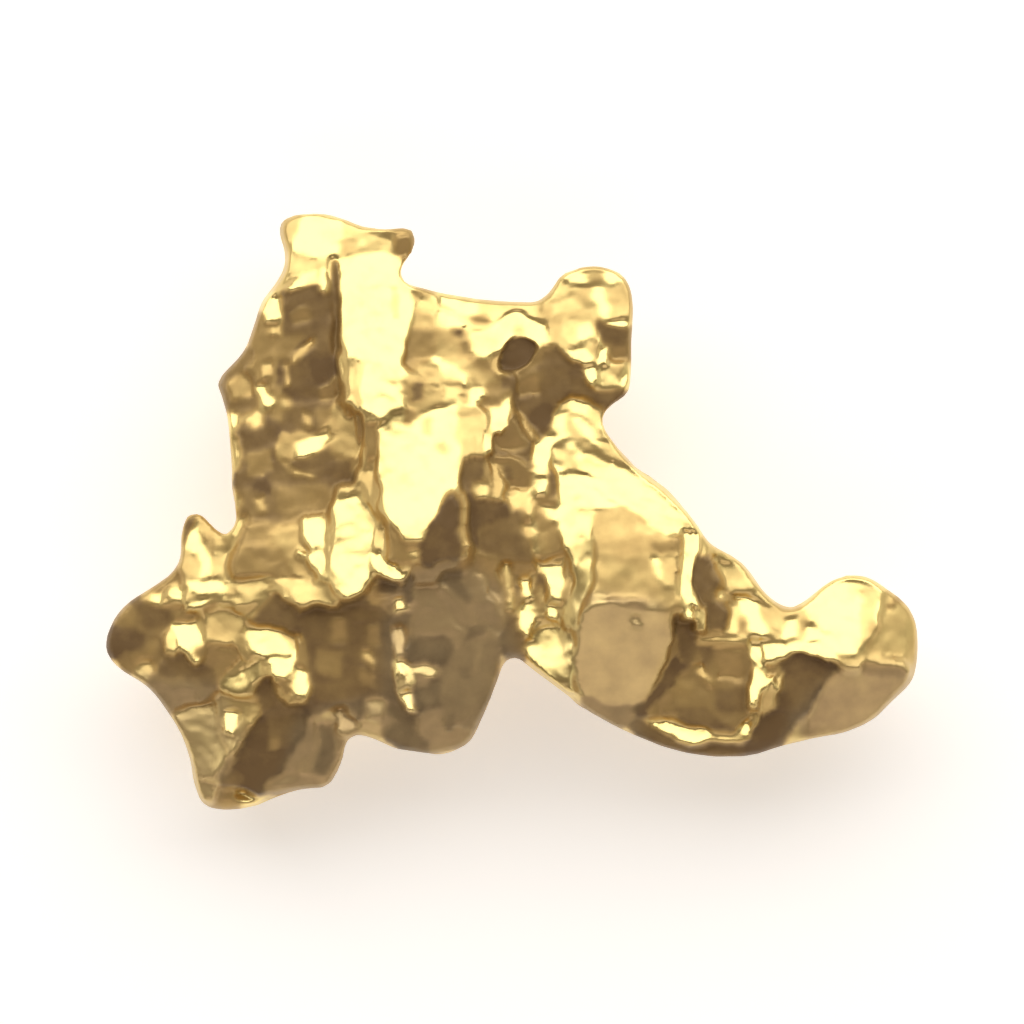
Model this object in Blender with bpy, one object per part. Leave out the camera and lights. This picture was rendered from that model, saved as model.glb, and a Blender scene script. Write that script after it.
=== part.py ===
"""Gold nugget, one solid of native gold lying on its back.

Metres, +Z up, origin at the centre of the footprint on the surface it rests on.
The head of the tower points to +Y and the long arm to +X. The design lists below are in
millimetres and are turned into metres when the mesh is written. Their heights are counted
from a working level; set_down() then rests the finished solid on the table.

The solid is a front sheet and a back sheet that meet along the nugget's outline. Each sheet
is blown up like a pillow, the front's facets are then set at their heights and slopes, and
ridges and hollows are pressed in.
"""

import math

import bmesh
import bpy
import numpy as np
from mathutils import Vector, noise
from mathutils.geometry import delaunay_2d_cdt

# ---------------------------------------------------------------- driving dimensions
MM = 0.001
LENGTH = 16.3            # along X, tip of the left lobe to the end knob
WIDTH = 12.0             # along Y, foot of the lower lobe to the head
RIM_STEP = 0.16          # spacing of the points along the outline
RIM_RINGS = (0.035, 0.11, 0.22)   # rows of points just inside the outline
FILL_STEP = 0.15         # spacing of the points over the sheets
JITTER = 0.25            # how far a filling point strays, in parts of FILL_STEP
FRONT_SWELL = 0.50       # height of the front pillow, 1 is a round section
BACK_SWELL = 0.85
EDGE_ROLL = 0.30         # how far the front's edge is rolled over above the outline
SWELL_LIMIT = 3.6        # the pillow's height levels out towards this
FACET_GRIP = 150.0       # how firmly a facet keeps to its plane against the pillow
LEAST_RISE = 0.35        # least bulge beside the rim, times the root of the way in
SINK = 0.9               # how far the front's floors may sink once clear of the rim
SINK_START, SINK_REACH = 0.15, 0.5   # where that begins, and how soon it is reached
RIM_FADE = 0.35          # hollows and ridges fade out over this distance from the rim
ROUGHEN_REACH = 0.5      # the unevenness reaches its full height this far in
TRIANGLES = 9200         # of the finished solid
FLAT_DEPTH = 0.14        # how much of each resting bulge is worn flat
FOOT_REACH = 0.9         # from a foot's middle to where it starts to rise
FOOT_SPREAD = 2.2        # how widely a foot carries the back down with it
FOOT_CLEARANCE = 0.25    # least gap between the table and the back away from the feet
GRAIN_SIZE = 0.9         # broad unevenness of the metal
GRAIN_HEIGHT = 0.05
BACK_GRAIN = 1.5         # the back is this much more uneven
WANDER_SIZE = 0.55       # how the edges of facets, hollows and ridges wander
WANDER = 0.10

# Outline, seen from above, clockwise from the left corner of the head.
OUTLINE = [
    # head
    (-4.63, 5.67), (-4.51, 5.91), (-3.95, 5.99), (-3.41, 5.89), (-2.99, 5.73), (-2.51, 5.67),
    (-2.08, 5.70), (-1.91, 5.47), (-2.01, 5.17), (-2.20, 4.91), (-2.16, 4.61),
    # top of the bridge
    (-1.71, 4.46), (-0.91, 4.31), (-0.37, 4.24), (0.03, 4.22), (0.53, 4.23), (0.80, 4.48),
    # right knob
    (0.99, 4.75), (1.49, 4.93), (1.97, 4.88), (2.29, 4.67), (2.42, 4.28), (2.42, 3.80),
    (2.39, 3.37), (2.39, 2.84), (2.33, 2.39), (2.05, 2.19), (1.82, 1.95), (1.84, 1.69),
    # back of the arm
    (2.03, 1.40), (2.45, 0.89), (2.99, 0.49), (3.44, 0.08), (3.73, -0.28), (3.97, -0.63),
    (4.53, -0.96), (4.88, -1.40), (5.23, -1.77), (5.55, -1.93), (5.89, -1.77),
    # end knob
    (6.22, -1.46), (6.61, -1.27), (7.07, -1.27), (7.49, -1.51), (7.87, -1.81), (8.08, -2.19),
    (8.13, -2.67), (8.07, -3.23), (7.92, -3.49), (7.60, -3.79), (7.23, -4.15), (6.69, -4.40),
    # belly of the arm
    (6.03, -4.53), (5.36, -4.69), (4.83, -4.85), (4.03, -4.89), (3.23, -4.75), (2.43, -4.45),
    (1.63, -4.04), (1.09, -3.65), (0.43, -3.12), (0.13, -2.89), (-0.11, -2.92), (-0.24, -3.22),
    # middle lobe
    (-0.43, -3.74), (-0.61, -4.11), (-0.80, -4.52), (-1.04, -4.72), (-1.41, -4.83),
    (-2.0, -4.79), (-2.37, -4.71), (-2.77, -4.53), (-3.12, -4.45), (-3.32, -4.59),
    # foot of the lower lobe
    (-3.37, -4.91), (-3.52, -5.25), (-3.71, -5.49), (-4.29, -5.56), (-4.77, -5.68),
    (-5.23, -5.90), (-5.77, -5.97), (-6.17, -5.87), (-6.33, -5.55), (-6.44, -5.01),
    (-6.61, -4.48), (-6.87, -4.03), (-7.27, -3.51), (-7.83, -3.15),
    # left lobe and its small peak
    (-8.08, -2.85), (-8.13, -2.64), (-8.0, -2.21), (-7.67, -1.81), (-7.24, -1.51),
    (-6.87, -1.27), (-6.64, -0.96), (-6.63, -0.51), (-6.52, -0.09), (-6.28, 0.01),
    (-6.04, -0.20), (-5.82, -0.43), (-5.71, -0.46), (-5.52, -0.19),
    # left side of the tower
    (-5.55, 0.22), (-5.60, 0.76), (-5.64, 1.36), (-5.69, 1.84), (-5.76, 2.24), (-5.85, 2.56),
    (-5.65, 2.91), (-5.36, 3.24), (-5.17, 3.73), (-5.0, 4.19), (-4.67, 4.61), (-4.50, 5.01),
    (-4.59, 5.52),
]

# Height of the outline above the working level, clockwise: (x, y, height).
RIM_HEIGHTS = [
    (-4.6, 5.8, 3.0), (-3.4, 5.9, 3.1), (-2.0, 5.6, 3.3), (-2.2, 4.7, 3.6), (-1.0, 4.3, 3.2),
    (0.3, 4.2, 3.2), (1.5, 4.9, 3.5), (2.4, 4.2, 3.5), (2.4, 3.0, 3.5), (2.0, 2.1, 3.6),
    (1.85, 1.6, 3.8), (2.3, 1.0, 3.8), (3.2, 0.3, 3.9), (3.8, -0.4, 3.8), (4.5, -1.0, 3.5),
    (5.5, -1.9, 3.4), (6.6, -1.25, 3.4), (7.9, -1.9, 3.2), (8.1, -3.0, 3.0), (7.5, -3.9, 3.0),
    (6.0, -4.5, 3.0), (4.5, -4.9, 3.0), (3.0, -4.7, 3.2), (1.6, -4.0, 3.4), (0.9, -3.5, 3.4),
    (0.0, -2.9, 3.4), (-0.4, -3.6, 3.5), (-0.8, -4.6, 3.3), (-1.6, -4.8, 3.2),
    (-2.6, -4.6, 3.2), (-3.2, -4.5, 3.2), (-3.5, -5.3, 2.8), (-4.5, -5.6, 2.5),
    (-5.6, -6.0, 2.3), (-6.4, -5.2, 2.4), (-6.8, -4.1, 2.9), (-7.6, -3.2, 3.1),
    (-8.1, -2.6, 3.1), (-7.4, -1.6, 3.2), (-6.6, -0.7, 3.2), (-6.4, 0.0, 3.3),
    (-5.75, -0.45, 3.5), (-5.55, 0.3, 3.5), (-5.65, 1.5, 3.2), (-5.8, 2.5, 3.0),
    (-5.4, 3.2, 3.0), (-5.0, 4.1, 3.1), (-4.5, 4.9, 3.1),
]

# Facets of the front: corners, height of the middle above the working level, and the rise
# per mm towards +X and towards +Y.
FACETS = {
    # head
    "head corner": ([(-4.6, 5.9), (-4.3, 5.95), (-4.2, 5.3), (-4.5, 5.3)], 3.3, (0.3, -0.1)),
    "head plate": ([(-4.25, 5.9), (-3.5, 5.85), (-3.3, 5.2), (-4.2, 5.1)], 3.5, (0.0, -0.38)),
    "head right": ([(-3.2, 5.7), (-2.3, 5.5), (-2.35, 5.2), (-3.2, 5.3)], 3.7, (0.0, -0.22)),
    "head horn": ([(-2.3, 5.65), (-2.0, 5.6), (-2.05, 5.25), (-2.25, 5.0)], 3.55, (-0.05, 0.02)),
    # tower
    "tower band": ([(-3.4, 5.1), (-2.3, 5.1), (-2.1, 4.0), (-2.2, 3.4), (-2.35, 2.9),
                    (-3.15, 2.9), (-3.4, 3.8)], 4.15, (0.0, -0.38)),
    "tower neck": ([(-3.0, 2.85), (-2.3, 2.85), (-2.3, 2.0), (-2.95, 2.0)], 4.7, (0.0, -0.36)),
    "tower spine": ([(-2.95, 1.95), (-2.5, 1.9), (-2.65, 0.3), (-3.0, 0.5)], 4.6,
                    (0.3, -0.12)),
    "tower floor": ([(-4.5, 4.2), (-4.0, 4.5), (-3.7, 4.3), (-3.65, 3.3), (-3.6, 2.3),
                    (-4.4, 2.2), (-4.6, 3.4)], 3.45, (0.04, 0.03)),
    "tower lower floor": ([(-4.4, 2.2), (-3.5, 2.3), (-3.0, 1.2), (-3.4, 1.3), (-4.4, 1.7)],
                    3.5, (0.08, 0.04)),
    "tower rim face": ([(-5.05, 3.9), (-4.75, 4.2), (-4.75, 2.6), (-5.05, 2.5)], 3.75,
                    (0.05, 0.0)),
    "tower side": ([(-5.7, 2.9), (-5.2, 3.1), (-5.1, 2.2), (-5.5, 1.9)], 3.45, (0.3, 0.0)),
    "tower flank": ([(-5.4, 1.7), (-4.9, 1.9), (-4.7, 0.9), (-5.3, 0.6)], 3.5, (0.15, 0.03)),
    "tower root": ([(-5.3, 0.4), (-4.7, 0.5), (-4.7, -0.1), (-5.3, -0.2)], 3.55, (0.1, 0.0)),
    # crown, the highest part
    "crown face": ([(-2.6, 1.6), (-2.1, 1.75), (-1.6, 2.05), (-0.6, 2.1), (-0.9, 1.2),
                    (-1.1, 0.5), (-1.6, -0.2), (-2.1, -0.5), (-2.6, 0.1)], 5.15, (0.0, -0.38)),
    "crown lee": ([(-1.2, 0.3), (-1.05, 0.0), (-1.05, -0.6), (-1.3, -0.9), (-1.85, -0.95),
                    (-1.6, -0.3)], 4.9, (0.0, 0.04)),
    "shoulder": ([(-3.6, 0.1), (-2.8, 0.1), (-2.8, -1.5), (-3.2, -1.7), (-3.7, -1.2)], 4.6,
                    (0.0, -0.4)),
    "shoulder right": ([(-2.7, -0.6), (-2.15, -0.7), (-2.0, -1.3), (-2.6, -1.3)], 4.95,
                    (0.0, -0.16)),
    "saddle": ([(-5.2, -0.5), (-4.1, -0.4), (-4.0, -1.2), (-5.1, -1.2)], 3.8, (0.03, -0.09)),
    "saddle wall": ([(-4.6, 0.5), (-3.6, 0.5), (-3.7, -0.1), (-4.6, -0.2)], 3.75, (0.05, 0.02)),
    # bridge and right knob
    "bridge": ([(-1.9, 4.3), (0.0, 4.1), (0.0, 3.6), (-1.7, 3.7)], 3.6, (0.0, -0.24)),
    "bridge low": ([(-1.5, 3.4), (-0.9, 3.2), (-0.6, 2.4), (-1.5, 2.6)], 3.95, (0.0, -0.12)),
    "bridge pit": ([(-2.0, 3.6), (-1.55, 3.6), (-1.6, 3.2), (-1.9, 3.1)], 3.6, (0.0, 0.03)),
    "bridge root": ([(-0.9, 3.1), (-0.1, 2.9), (0.1, 2.3), (-0.6, 2.3)], 4.0, (0.0, -0.08)),
    "knob crown": ([(1.1, 4.7), (2.1, 4.6), (2.2, 4.0), (1.2, 4.0)], 4.0, (0.0, -0.24)),
    "knob face": ([(0.9, 3.9), (1.7, 3.9), (1.7, 3.0), (1.3, 3.0)], 4.2, (0.0, -0.3)),
    "knob side": ([(1.75, 3.8), (2.4, 3.6), (2.4, 3.1), (2.0, 3.0), (1.85, 3.3)], 3.7,
                    (0.0, 0.05)),
    "knob low": ([(1.5, 2.9), (2.3, 2.9), (2.2, 2.4), (1.7, 2.4)], 3.9, (-0.05, -0.16)),
    # crevice between the knob and the arm
    "crevice floor": ([(0.9, 3.2), (1.2, 2.6), (0.9, 2.1), (0.55, 1.5), (0.1, 2.0), (0.15, 2.5),
                    (0.6, 2.9)], 3.5, (0.02, 0.03)),
    "crevice foot": ([(0.05, 1.95), (0.4, 1.3), (0.2, 1.1), (-0.4, 1.1), (-0.3, 1.5)], 3.6,
                    (0.0, 0.03)),
    "crevice cheek": ([(-0.45, 2.2), (0.0, 2.0), (-0.1, 1.6), (-0.45, 1.6)], 4.2, (0.0, -0.38)),
    # arm
    "arm head": ([(0.7, 2.1), (1.6, 2.0), (1.7, 1.3), (1.0, 1.2)], 4.0, (0.0, -0.25)),
    "arm crest": ([(1.3, 1.2), (1.7, 1.1), (2.2, 0.85), (2.9, 0.3), (3.6, -0.3), (3.4, -0.6),
                    (3.1, -0.5), (2.8, -0.3), (2.4, 0.05), (1.6, 0.1)], 4.3, (-0.08, -0.42)),
    "arm top": ([(1.6, 0.0), (2.4, 0.0), (3.2, -0.6), (3.3, -1.7), (1.7, -1.6)], 4.8,
                    (0.0, -0.12)),
    "arm belly": ([(1.3, -1.9), (3.2, -2.0), (3.2, -2.9), (2.6, -3.8), (1.9, -3.9),
                    (1.2, -3.2)], 4.35, (0.0, 0.45)),
    "arm left": ([(0.4, 0.9), (1.0, 0.8), (1.1, -0.8), (0.6, -1.0), (0.2, 0.0)], 4.1,
                    (0.05, -0.15)),
    "arm hem": ([(0.25, -2.65), (0.85, -2.3), (1.05, -2.9), (0.8, -3.3)], 3.75, (0.0, -0.4)),
    "wrist back": ([(3.9, -0.75), (4.5, -1.05), (5.2, -1.85), (4.6, -1.7), (4.2, -1.5)], 3.7,
                    (0.0, -0.16)),
    "wrist shelf": ([(3.75, -2.35), (4.8, -2.4), (4.8, -2.6), (3.7, -2.65)], 4.0, (0.0, -0.14)),
    "wrist blob": ([(4.5, -1.75), (4.9, -1.8), (5.1, -2.4), (4.7, -2.3)], 4.0, (0.0, -0.4)),
    "wrist saddle": ([(5.1, -2.1), (5.8, -2.1), (5.7, -2.6), (5.1, -2.6)], 3.8, (0.0, -0.18)),
    "box floor": ([(3.7, -2.8), (4.7, -2.75), (4.7, -4.0), (4.2, -4.2), (3.4, -3.8)], 3.4,
                    (0.0, 0.0)),
    "box strip": ([(3.0, -3.5), (3.5, -3.0), (3.6, -3.8), (3.1, -4.1)], 3.5, (0.0, 0.15)),
    "triangle floor": ([(5.4, -3.0), (6.2, -3.0), (6.2, -3.4), (5.7, -3.8), (5.4, -3.9)], 3.3,
                    (0.0, 0.0)),
    "triangle side": ([(5.05, -3.1), (5.3, -3.1), (5.3, -4.0), (5.05, -4.0)], 3.5, (0.0, 0.42)),
    # end knob
    "end face": ([(6.0, -1.8), (6.4, -1.5), (6.8, -1.4), (7.3, -1.5), (7.3, -2.2), (7.0, -2.6),
                    (6.7, -2.95), (6.3, -2.4)], 3.9, (0.05, -0.36)),
    "end side": ([(7.4, -1.7), (7.9, -2.2), (7.95, -3.0), (7.2, -3.1), (7.2, -2.6),
                    (7.4, -2.2)], 3.75, (-0.35, -0.15)),
    "end belly": ([(6.5, -3.3), (7.9, -3.4), (7.2, -4.0), (5.9, -4.3)], 3.7, (0.0, 0.55)),
    # middle lobe
    "middle lobe": ([(-1.9, -1.6), (-0.6, -1.4), (-0.6, -3.4), (-1.2, -4.3), (-2.0, -4.2)], 4.2,
                    (0.0, 0.06)),
    "middle toe": ([(-1.9, -4.4), (-1.1, -4.3), (-0.9, -4.6), (-1.9, -4.7)], 3.55, (0.0, 0.3)),
    # left lobe and lower lobe
    "left lobe": ([(-7.8, -2.2), (-7.0, -1.9), (-6.8, -2.9), (-7.6, -3.0)], 3.5, (0.06, 0.06)),
    "left brow": ([(-7.4, -1.75), (-6.4, -1.3), (-6.3, -1.7), (-7.0, -1.85)], 3.6, (0.0, -0.34)),
    "peak face": ([(-6.5, -0.2), (-6.15, -0.2), (-5.9, -1.0), (-6.5, -1.2)], 3.6,
                    (0.05, -0.32)),
    "lobe band": ([(-5.6, -1.4), (-4.9, -1.3), (-3.7, -1.4), (-3.7, -1.85), (-4.7, -1.6),
                    (-5.3, -1.8)], 4.15, (0.0, -0.36)),
    "lobe floor": ([(-4.2, -2.0), (-2.6, -2.0), (-2.6, -3.4), (-3.9, -3.7), (-4.2, -2.9)], 3.85,
                    (0.02, 0.04)),
    "lobe blobs": ([(-5.3, -2.35), (-4.3, -2.5), (-4.3, -2.95), (-5.2, -2.85)], 4.35,
                    (0.0, -0.42)),
    "lobe cheek": ([(-6.75, -2.25), (-6.3, -2.2), (-6.2, -2.7), (-6.35, -3.05), (-6.6, -2.9)],
                    4.05, (0.0, -0.42)),
    "arch floor": ([(-6.0, -2.7), (-5.5, -2.6), (-5.5, -3.3), (-5.8, -3.4)], 3.75, (0.0, 0.04)),
    "foot brow": ([(-7.2, -3.2), (-6.0, -3.5), (-6.1, -3.9), (-6.8, -3.8)], 3.6, (0.06, 0.02)),
    "foot face": ([(-6.5, -3.9), (-5.5, -3.9), (-5.7, -5.1), (-6.2, -5.6)], 3.1, (0.25, 0.35)),
    "foot floor": ([(-4.9, -4.2), (-4.2, -4.15), (-4.3, -4.6), (-5.0, -5.1), (-5.4, -5.3),
                    (-5.1, -4.6)], 3.1, (0.0, 0.03)),
    "foot back": ([(-4.0, -4.2), (-3.5, -4.2), (-3.5, -5.3), (-4.2, -5.3)], 3.25, (0.0, 0.03)),
    "foot notch": ([(-3.4, -3.7), (-2.7, -3.5), (-2.7, -4.3), (-3.3, -4.3)], 3.55, (0.0, 0.2)),
}

# Hollows of the front: corners, depth, and the width of the wall round the floor.
HOLLOWS = {
    "tower hole": ([(-3.95, 3.1), (-3.65, 3.1), (-3.62, 2.5), (-3.9, 2.5)], 0.30, 0.30),
    "tower pit": ([(-5.1, 0.7), (-4.85, 0.65), (-4.85, 0.3), (-5.05, 0.3)], 0.30, 0.18),
    "under the crescent": ([(-4.9, 1.15), (-4.3, 1.1), (-3.5, 1.3), (-3.1, 1.0),
                            (-3.8, 0.65), (-4.8, 0.75)], 0.18, 0.30),
    "pocket": ([(0.15, 3.45), (0.5, 3.3), (0.4, 3.05), (0.05, 2.9), (-0.3, 2.9),
                (-0.25, 3.15)], 1.0, 0.28),
    "ledge": ([(3.2, -2.2), (3.65, -2.25), (3.68, -2.7), (3.3, -3.3), (2.8, -3.9),
               (2.6, -3.8), (3.15, -2.9)], 0.20, 0.24),
    "oval pit": ([(3.7, -0.9), (3.95, -0.85), (4.1, -1.2), (4.05, -1.65), (3.8, -1.8),
                  (3.6, -1.4)], 0.25, 0.25),
    "wrist pit": ([(3.85, -1.95), (4.25, -1.85), (4.3, -2.15), (4.05, -2.35),
                   (3.8, -2.3)], 0.25, 0.20),
    "arm notch": ([(2.6, -0.6), (3.3, -0.5), (3.42, -0.85), (2.8, -0.9)], 0.15, 0.18),
    "arch": ([(-6.0, -2.6), (-5.6, -2.5), (-5.4, -2.9), (-5.4, -3.4), (-5.8, -3.5)], 0.15, 0.28),
    "lobe pit": ([(-1.95, -3.4), (-1.45, -3.4), (-1.5, -3.95), (-1.95, -4.0)], 0.15, 0.25),
    "knob band": ([(1.75, 3.8), (2.6, 3.62), (2.6, 3.1), (2.0, 3.0), (1.85, 3.3)], 0.15, 0.25),
}

# Ridges (and, below zero, grooves) of the front: line, height, half width.
RIDGES = {
    "band crease": ([(-3.6, 5.0), (-3.55, 4.0), (-3.4, 3.2), (-3.3, 2.4)], -0.25, 0.16),
    "tower rim": ([(-3.85, 4.75), (-4.15, 4.55), (-4.65, 4.3)], 0.18, 0.20),
    "tower edge": ([(-4.75, 4.2), (-4.95, 3.9), (-4.95, 3.2), (-4.95, 2.5)], 0.20, 0.18),
    "tower loop": ([(-4.05, 3.45), (-4.4, 3.1), (-4.5, 2.6)], 0.14, 0.12),
    "crescent": ([(-4.55, 1.5), (-4.5, 1.2), (-4.0, 1.3), (-3.6, 1.6), (-3.45, 2.1)],
                 0.22, 0.17),
    "finger one": ([(-4.2, 1.3), (-4.2, 1.75)], 0.10, 0.12),
    "finger two": ([(-4.0, 1.4), (-4.05, 2.05)], 0.10, 0.12),
    "low ridge": ([(-4.6, 1.0), (-4.4, 0.85), (-4.1, 0.65), (-3.8, 0.6)], 0.20, 0.12),
    "pocket lip left": ([(-0.85, 3.35), (-0.45, 3.3), (-0.2, 3.5), (0.1, 3.8)], 0.22, 0.20),
    "pocket lip right": ([(0.1, 3.85), (0.45, 3.75), (0.6, 3.4)], 0.22, 0.18),
    "bridge streak": ([(-1.5, 3.9), (-1.0, 3.6)], 0.12, 0.14),
    "bridge streak low": ([(-1.4, 2.95), (-0.9, 2.6)], 0.14, 0.14),
    "crevice rib": ([(0.15, 2.05), (0.45, 1.5)], 0.25, 0.12),
    "knob valley": ([(1.25, 3.2), (1.3, 2.95), (1.45, 2.6), (1.75, 2.35)], -0.25, 0.16),
    "arm edge": ([(0.65, 1.5), (1.1, 0.6), (1.4, 0.0), (1.25, -0.5), (1.45, -1.0),
                  (1.4, -1.4), (1.25, -1.8), (1.15, -2.2), (1.05, -2.8), (0.98, -3.3)],
                 0.25, 0.20),
    "wrist edge": ([(3.5, -0.4), (3.6, -0.7), (3.45, -1.2), (3.5, -1.6), (3.65, -2.1)],
                   0.30, 0.17),
    "box lip": ([(2.8, -4.15), (3.3, -4.4), (3.9, -4.42), (4.5, -4.38), (4.75, -4.2)],
                0.20, 0.15),
    "belly crease": ([(2.3, -4.25), (3.3, -4.68), (4.4, -4.72), (5.1, -4.5)], -0.12, 0.12),
    "box wall": ([(4.9, -2.75), (5.0, -3.0), (4.87, -3.4), (4.85, -4.0), (4.7, -4.35)],
                 0.28, 0.15),
    "box rib": ([(3.7, -3.1), (4.0, -3.5)], 0.16, 0.12),
    "triangle lip": ([(5.6, -2.68), (6.1, -2.75), (6.5, -2.95)], 0.20, 0.14),
    "rift rib one": ([(-0.95, 0.2), (-0.9, -0.3), (-0.8, -0.8)], 0.22, 0.12),
    "rift rib two": ([(-0.15, -0.6), (-0.1, -1.1), (0.0, -1.8)], 0.22, 0.13),
    "rift rib three": ([(0.2, -0.8), (0.25, -1.4), (0.4, -2.0), (0.45, -2.4)], 0.25, 0.14),
    "rift rib four": ([(0.7, -1.0), (0.8, -1.6), (0.75, -2.4), (0.7, -2.9)], 0.22, 0.16),
    "rift bridge": ([(-0.6, 0.45), (0.1, 0.4), (0.6, 0.6)], 0.25, 0.18),
    "zigzag": ([(-3.6, 0.0), (-3.25, 0.35), (-2.9, 0.1)], 0.18, 0.16),
    "saddle oval": ([(-3.95, 0.0), (-3.95, -0.65)], 0.18, 0.18),
    "crown spur": ([(-2.7, -0.6), (-2.4, -1.0), (-2.15, -1.35)], 0.20, 0.16),
    "peak ridge": ([(-6.35, -0.15), (-6.1, -0.7), (-5.9, -1.2)], 0.15, 0.16),
    "foot ridge": ([(-5.1, -3.75), (-5.2, -4.3), (-5.5, -4.75), (-5.75, -5.3)], 0.30, 0.17),
    "foot ridge right": ([(-4.0, -4.2), (-4.3, -4.9), (-4.9, -5.35)], 0.20, 0.15),
    "lobe ridge": ([(-2.3, -2.1), (-2.3, -2.9), (-2.1, -3.4), (-2.05, -4.0)], 0.18, 0.14),
    "lobe branch": ([(-2.1, -3.2), (-1.6, -3.2)], 0.16, 0.12),
    "blob a": ([(-5.3, -2.55), (-4.9, -2.6), (-4.3, -2.75)], 0.12, 0.22),
    "blob b": ([(-4.95, -3.1), (-4.45, -3.2)], 0.18, 0.18),
    "blob c": ([(-5.65, -3.55), (-5.4, -3.7), (-5.15, -3.3)], 0.25, 0.16),
    "blob d": ([(-4.3, -3.3), (-4.2, -3.7)], 0.20, 0.14),
    "blob e": ([(-5.6, -3.95), (-5.55, -4.35)], 0.16, 0.14),
    "fold one": ([(-6.3, -1.7), (-5.5, -2.3)], 0.14, 0.13),
    "fold two": ([(-5.9, -1.6), (-5.2, -2.1)], 0.14, 0.13),
}

# Bulges of the back: centre, how far it stands out, radius. The nugget rests on the feet.
BACK_FEET = {
    "lobe foot": ((-5.1, -3.2), 0.45, 1.9), "tower foot": ((-3.4, 2.8), 0.40, 1.9),
    "arm foot": ((4.3, -2.9), 0.60, 2.0),
}
BACK_BULGES = {
    "back middle": ((-1.0, -1.4), 0.35, 1.6), "back knob": ((1.6, 3.8), 0.30, 0.9),
    "back end": ((7.0, -2.8), 0.35, 1.0), "back root": ((1.6, -0.8), 0.30, 1.0),
    "back lobe": ((-1.6, -3.6), 0.35, 0.9), "back head": ((-3.4, 5.0), 0.25, 0.8),
    "back left": ((-7.0, -2.6), 0.30, 0.8), "back elbow": ((2.9, -1.2), 0.20, 0.7),
}
BACK_HOLLOWS = {
    "back rift": ([(-3.6, 0.6), (-2.8, 1.3), (-1.7, 1.0), (-0.9, 1.4), (0.2, 1.0), (0.6, 0.4),
                   (-0.3, 0.0), (-1.2, 0.4), (-2.1, -0.1), (-3.1, 0.1)], 0.60, 0.8),
    "back notch": ([(-0.9, 3.2), (-0.2, 3.6), (0.6, 3.1), (0.5, 2.3), (0.0, 1.9),
                    (-0.5, 2.3)], 0.45, 0.7),
    "back dent": ([(1.6, -2.4), (2.2, -1.9), (2.9, -2.3), (2.9, -3.1), (2.2, -3.4)],
                  0.35, 0.7),
    "back pit": ([(-3.5, -2.6), (-2.9, -2.3), (-2.5, -2.8), (-2.7, -3.7), (-3.3, -3.6)],
                 0.45, 0.6),
    "back scar": ([(-5.0, 0.9), (-4.6, 1.3), (-4.7, 2.1), (-5.1, 2.3), (-5.3, 1.5)],
                  0.25, 0.5),
    "back cup": ([(6.0, -2.6), (6.5, -2.2), (6.6, -2.8), (6.2, -3.3)], 0.25, 0.5),
    "back nick": ([(-6.6, -3.5), (-6.2, -3.3), (-6.0, -4.1), (-6.3, -4.4)], 0.20, 0.4),
}
BACK_RIDGES = {
    "back spine": ([(-4.4, 4.8), (-4.2, 3.9), (-4.7, 1.6), (-4.2, -0.2)], 0.20, 0.25),
    "back arm spine": ([(1.2, 0.4), (2.4, -0.2), (3.6, -1.3), (5.2, -2.2), (6.2, -2.2)],
                       0.25, 0.30),
    "back fold": ([(-6.8, -2.0), (-5.8, -1.2), (-4.6, -1.0), (-3.4, -1.5)], 0.25, 0.22),
    "back bridge": ([(-2.2, 3.9), (-1.2, 3.5), (0.6, 4.0)], 0.18, 0.20),
    "back seam": ([(-2.6, -1.0), (-1.9, -2.2), (-2.2, -3.2)], -0.20, 0.20),
    "back crease": ([(5.7, -2.2), (5.5, -3.2), (5.9, -4.2)], -0.20, 0.25),
    "back wrinkle": ([(0.4, -0.6), (0.9, -1.6), (0.6, -2.6)], -0.18, 0.18),
}


# ---------------------------------------------------------------- plane geometry
def smooth_loop(corners, steps=8):
    """Closed Catmull-Rom curve through the corners."""
    p = np.array(corners, dtype=float)
    before, after, beyond = np.roll(p, 1, 0), np.roll(p, -1, 0), np.roll(p, -2, 0)
    rows = []
    for t in np.arange(steps) / steps:
        rows.append(0.5 * (2 * p + (after - before) * t
                           + (2 * before - 5 * p + 4 * after - beyond) * t ** 2
                           + (3 * p - before - 3 * after + beyond) * t ** 3))
    return np.stack(rows, axis=1).reshape(-1, 2)


def even_loop(loop, step):
    """The same closed line with its points about one step apart."""
    closed = np.vstack([loop, loop[:1]])
    run = np.concatenate([[0], np.cumsum(np.linalg.norm(np.diff(closed, axis=0), axis=1))])
    marks = np.linspace(0, run[-1], int(round(run[-1] / step)), endpoint=False)
    return np.column_stack([np.interp(marks, run, closed[:, k]) for k in (0, 1)])


def distance_to_line(points, line, closed=False):
    """Shortest distance from each point to a line of corners."""
    line = np.array(line, dtype=float)
    ends = np.roll(line, -1, 0) if closed else line[1:]
    best = np.full(len(points), np.inf)
    for a, b in zip(line, ends):
        along = b - a
        t = np.clip((points - a) @ along / max(along @ along, 1e-12), 0, 1)
        best = np.minimum(best, np.linalg.norm(points - a - t[:, None] * along, axis=1))
    return best


def inside(points, loop):
    """Which points lie inside a closed loop."""
    loop = np.array(loop, dtype=float)
    hit = np.zeros(len(points), dtype=bool)
    for (ax, ay), (bx, by) in zip(loop, np.roll(loop, -1, 0)):
        if ay == by:
            continue
        crosses = (ay > points[:, 1]) != (by > points[:, 1])
        hit ^= crosses & (points[:, 0] < (bx - ax) * (points[:, 1] - ay) / (by - ay) + ax)
    return hit


def ease(t):
    t = np.clip(t, 0, 1)
    return t * t * (3 - 2 * t)


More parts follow.
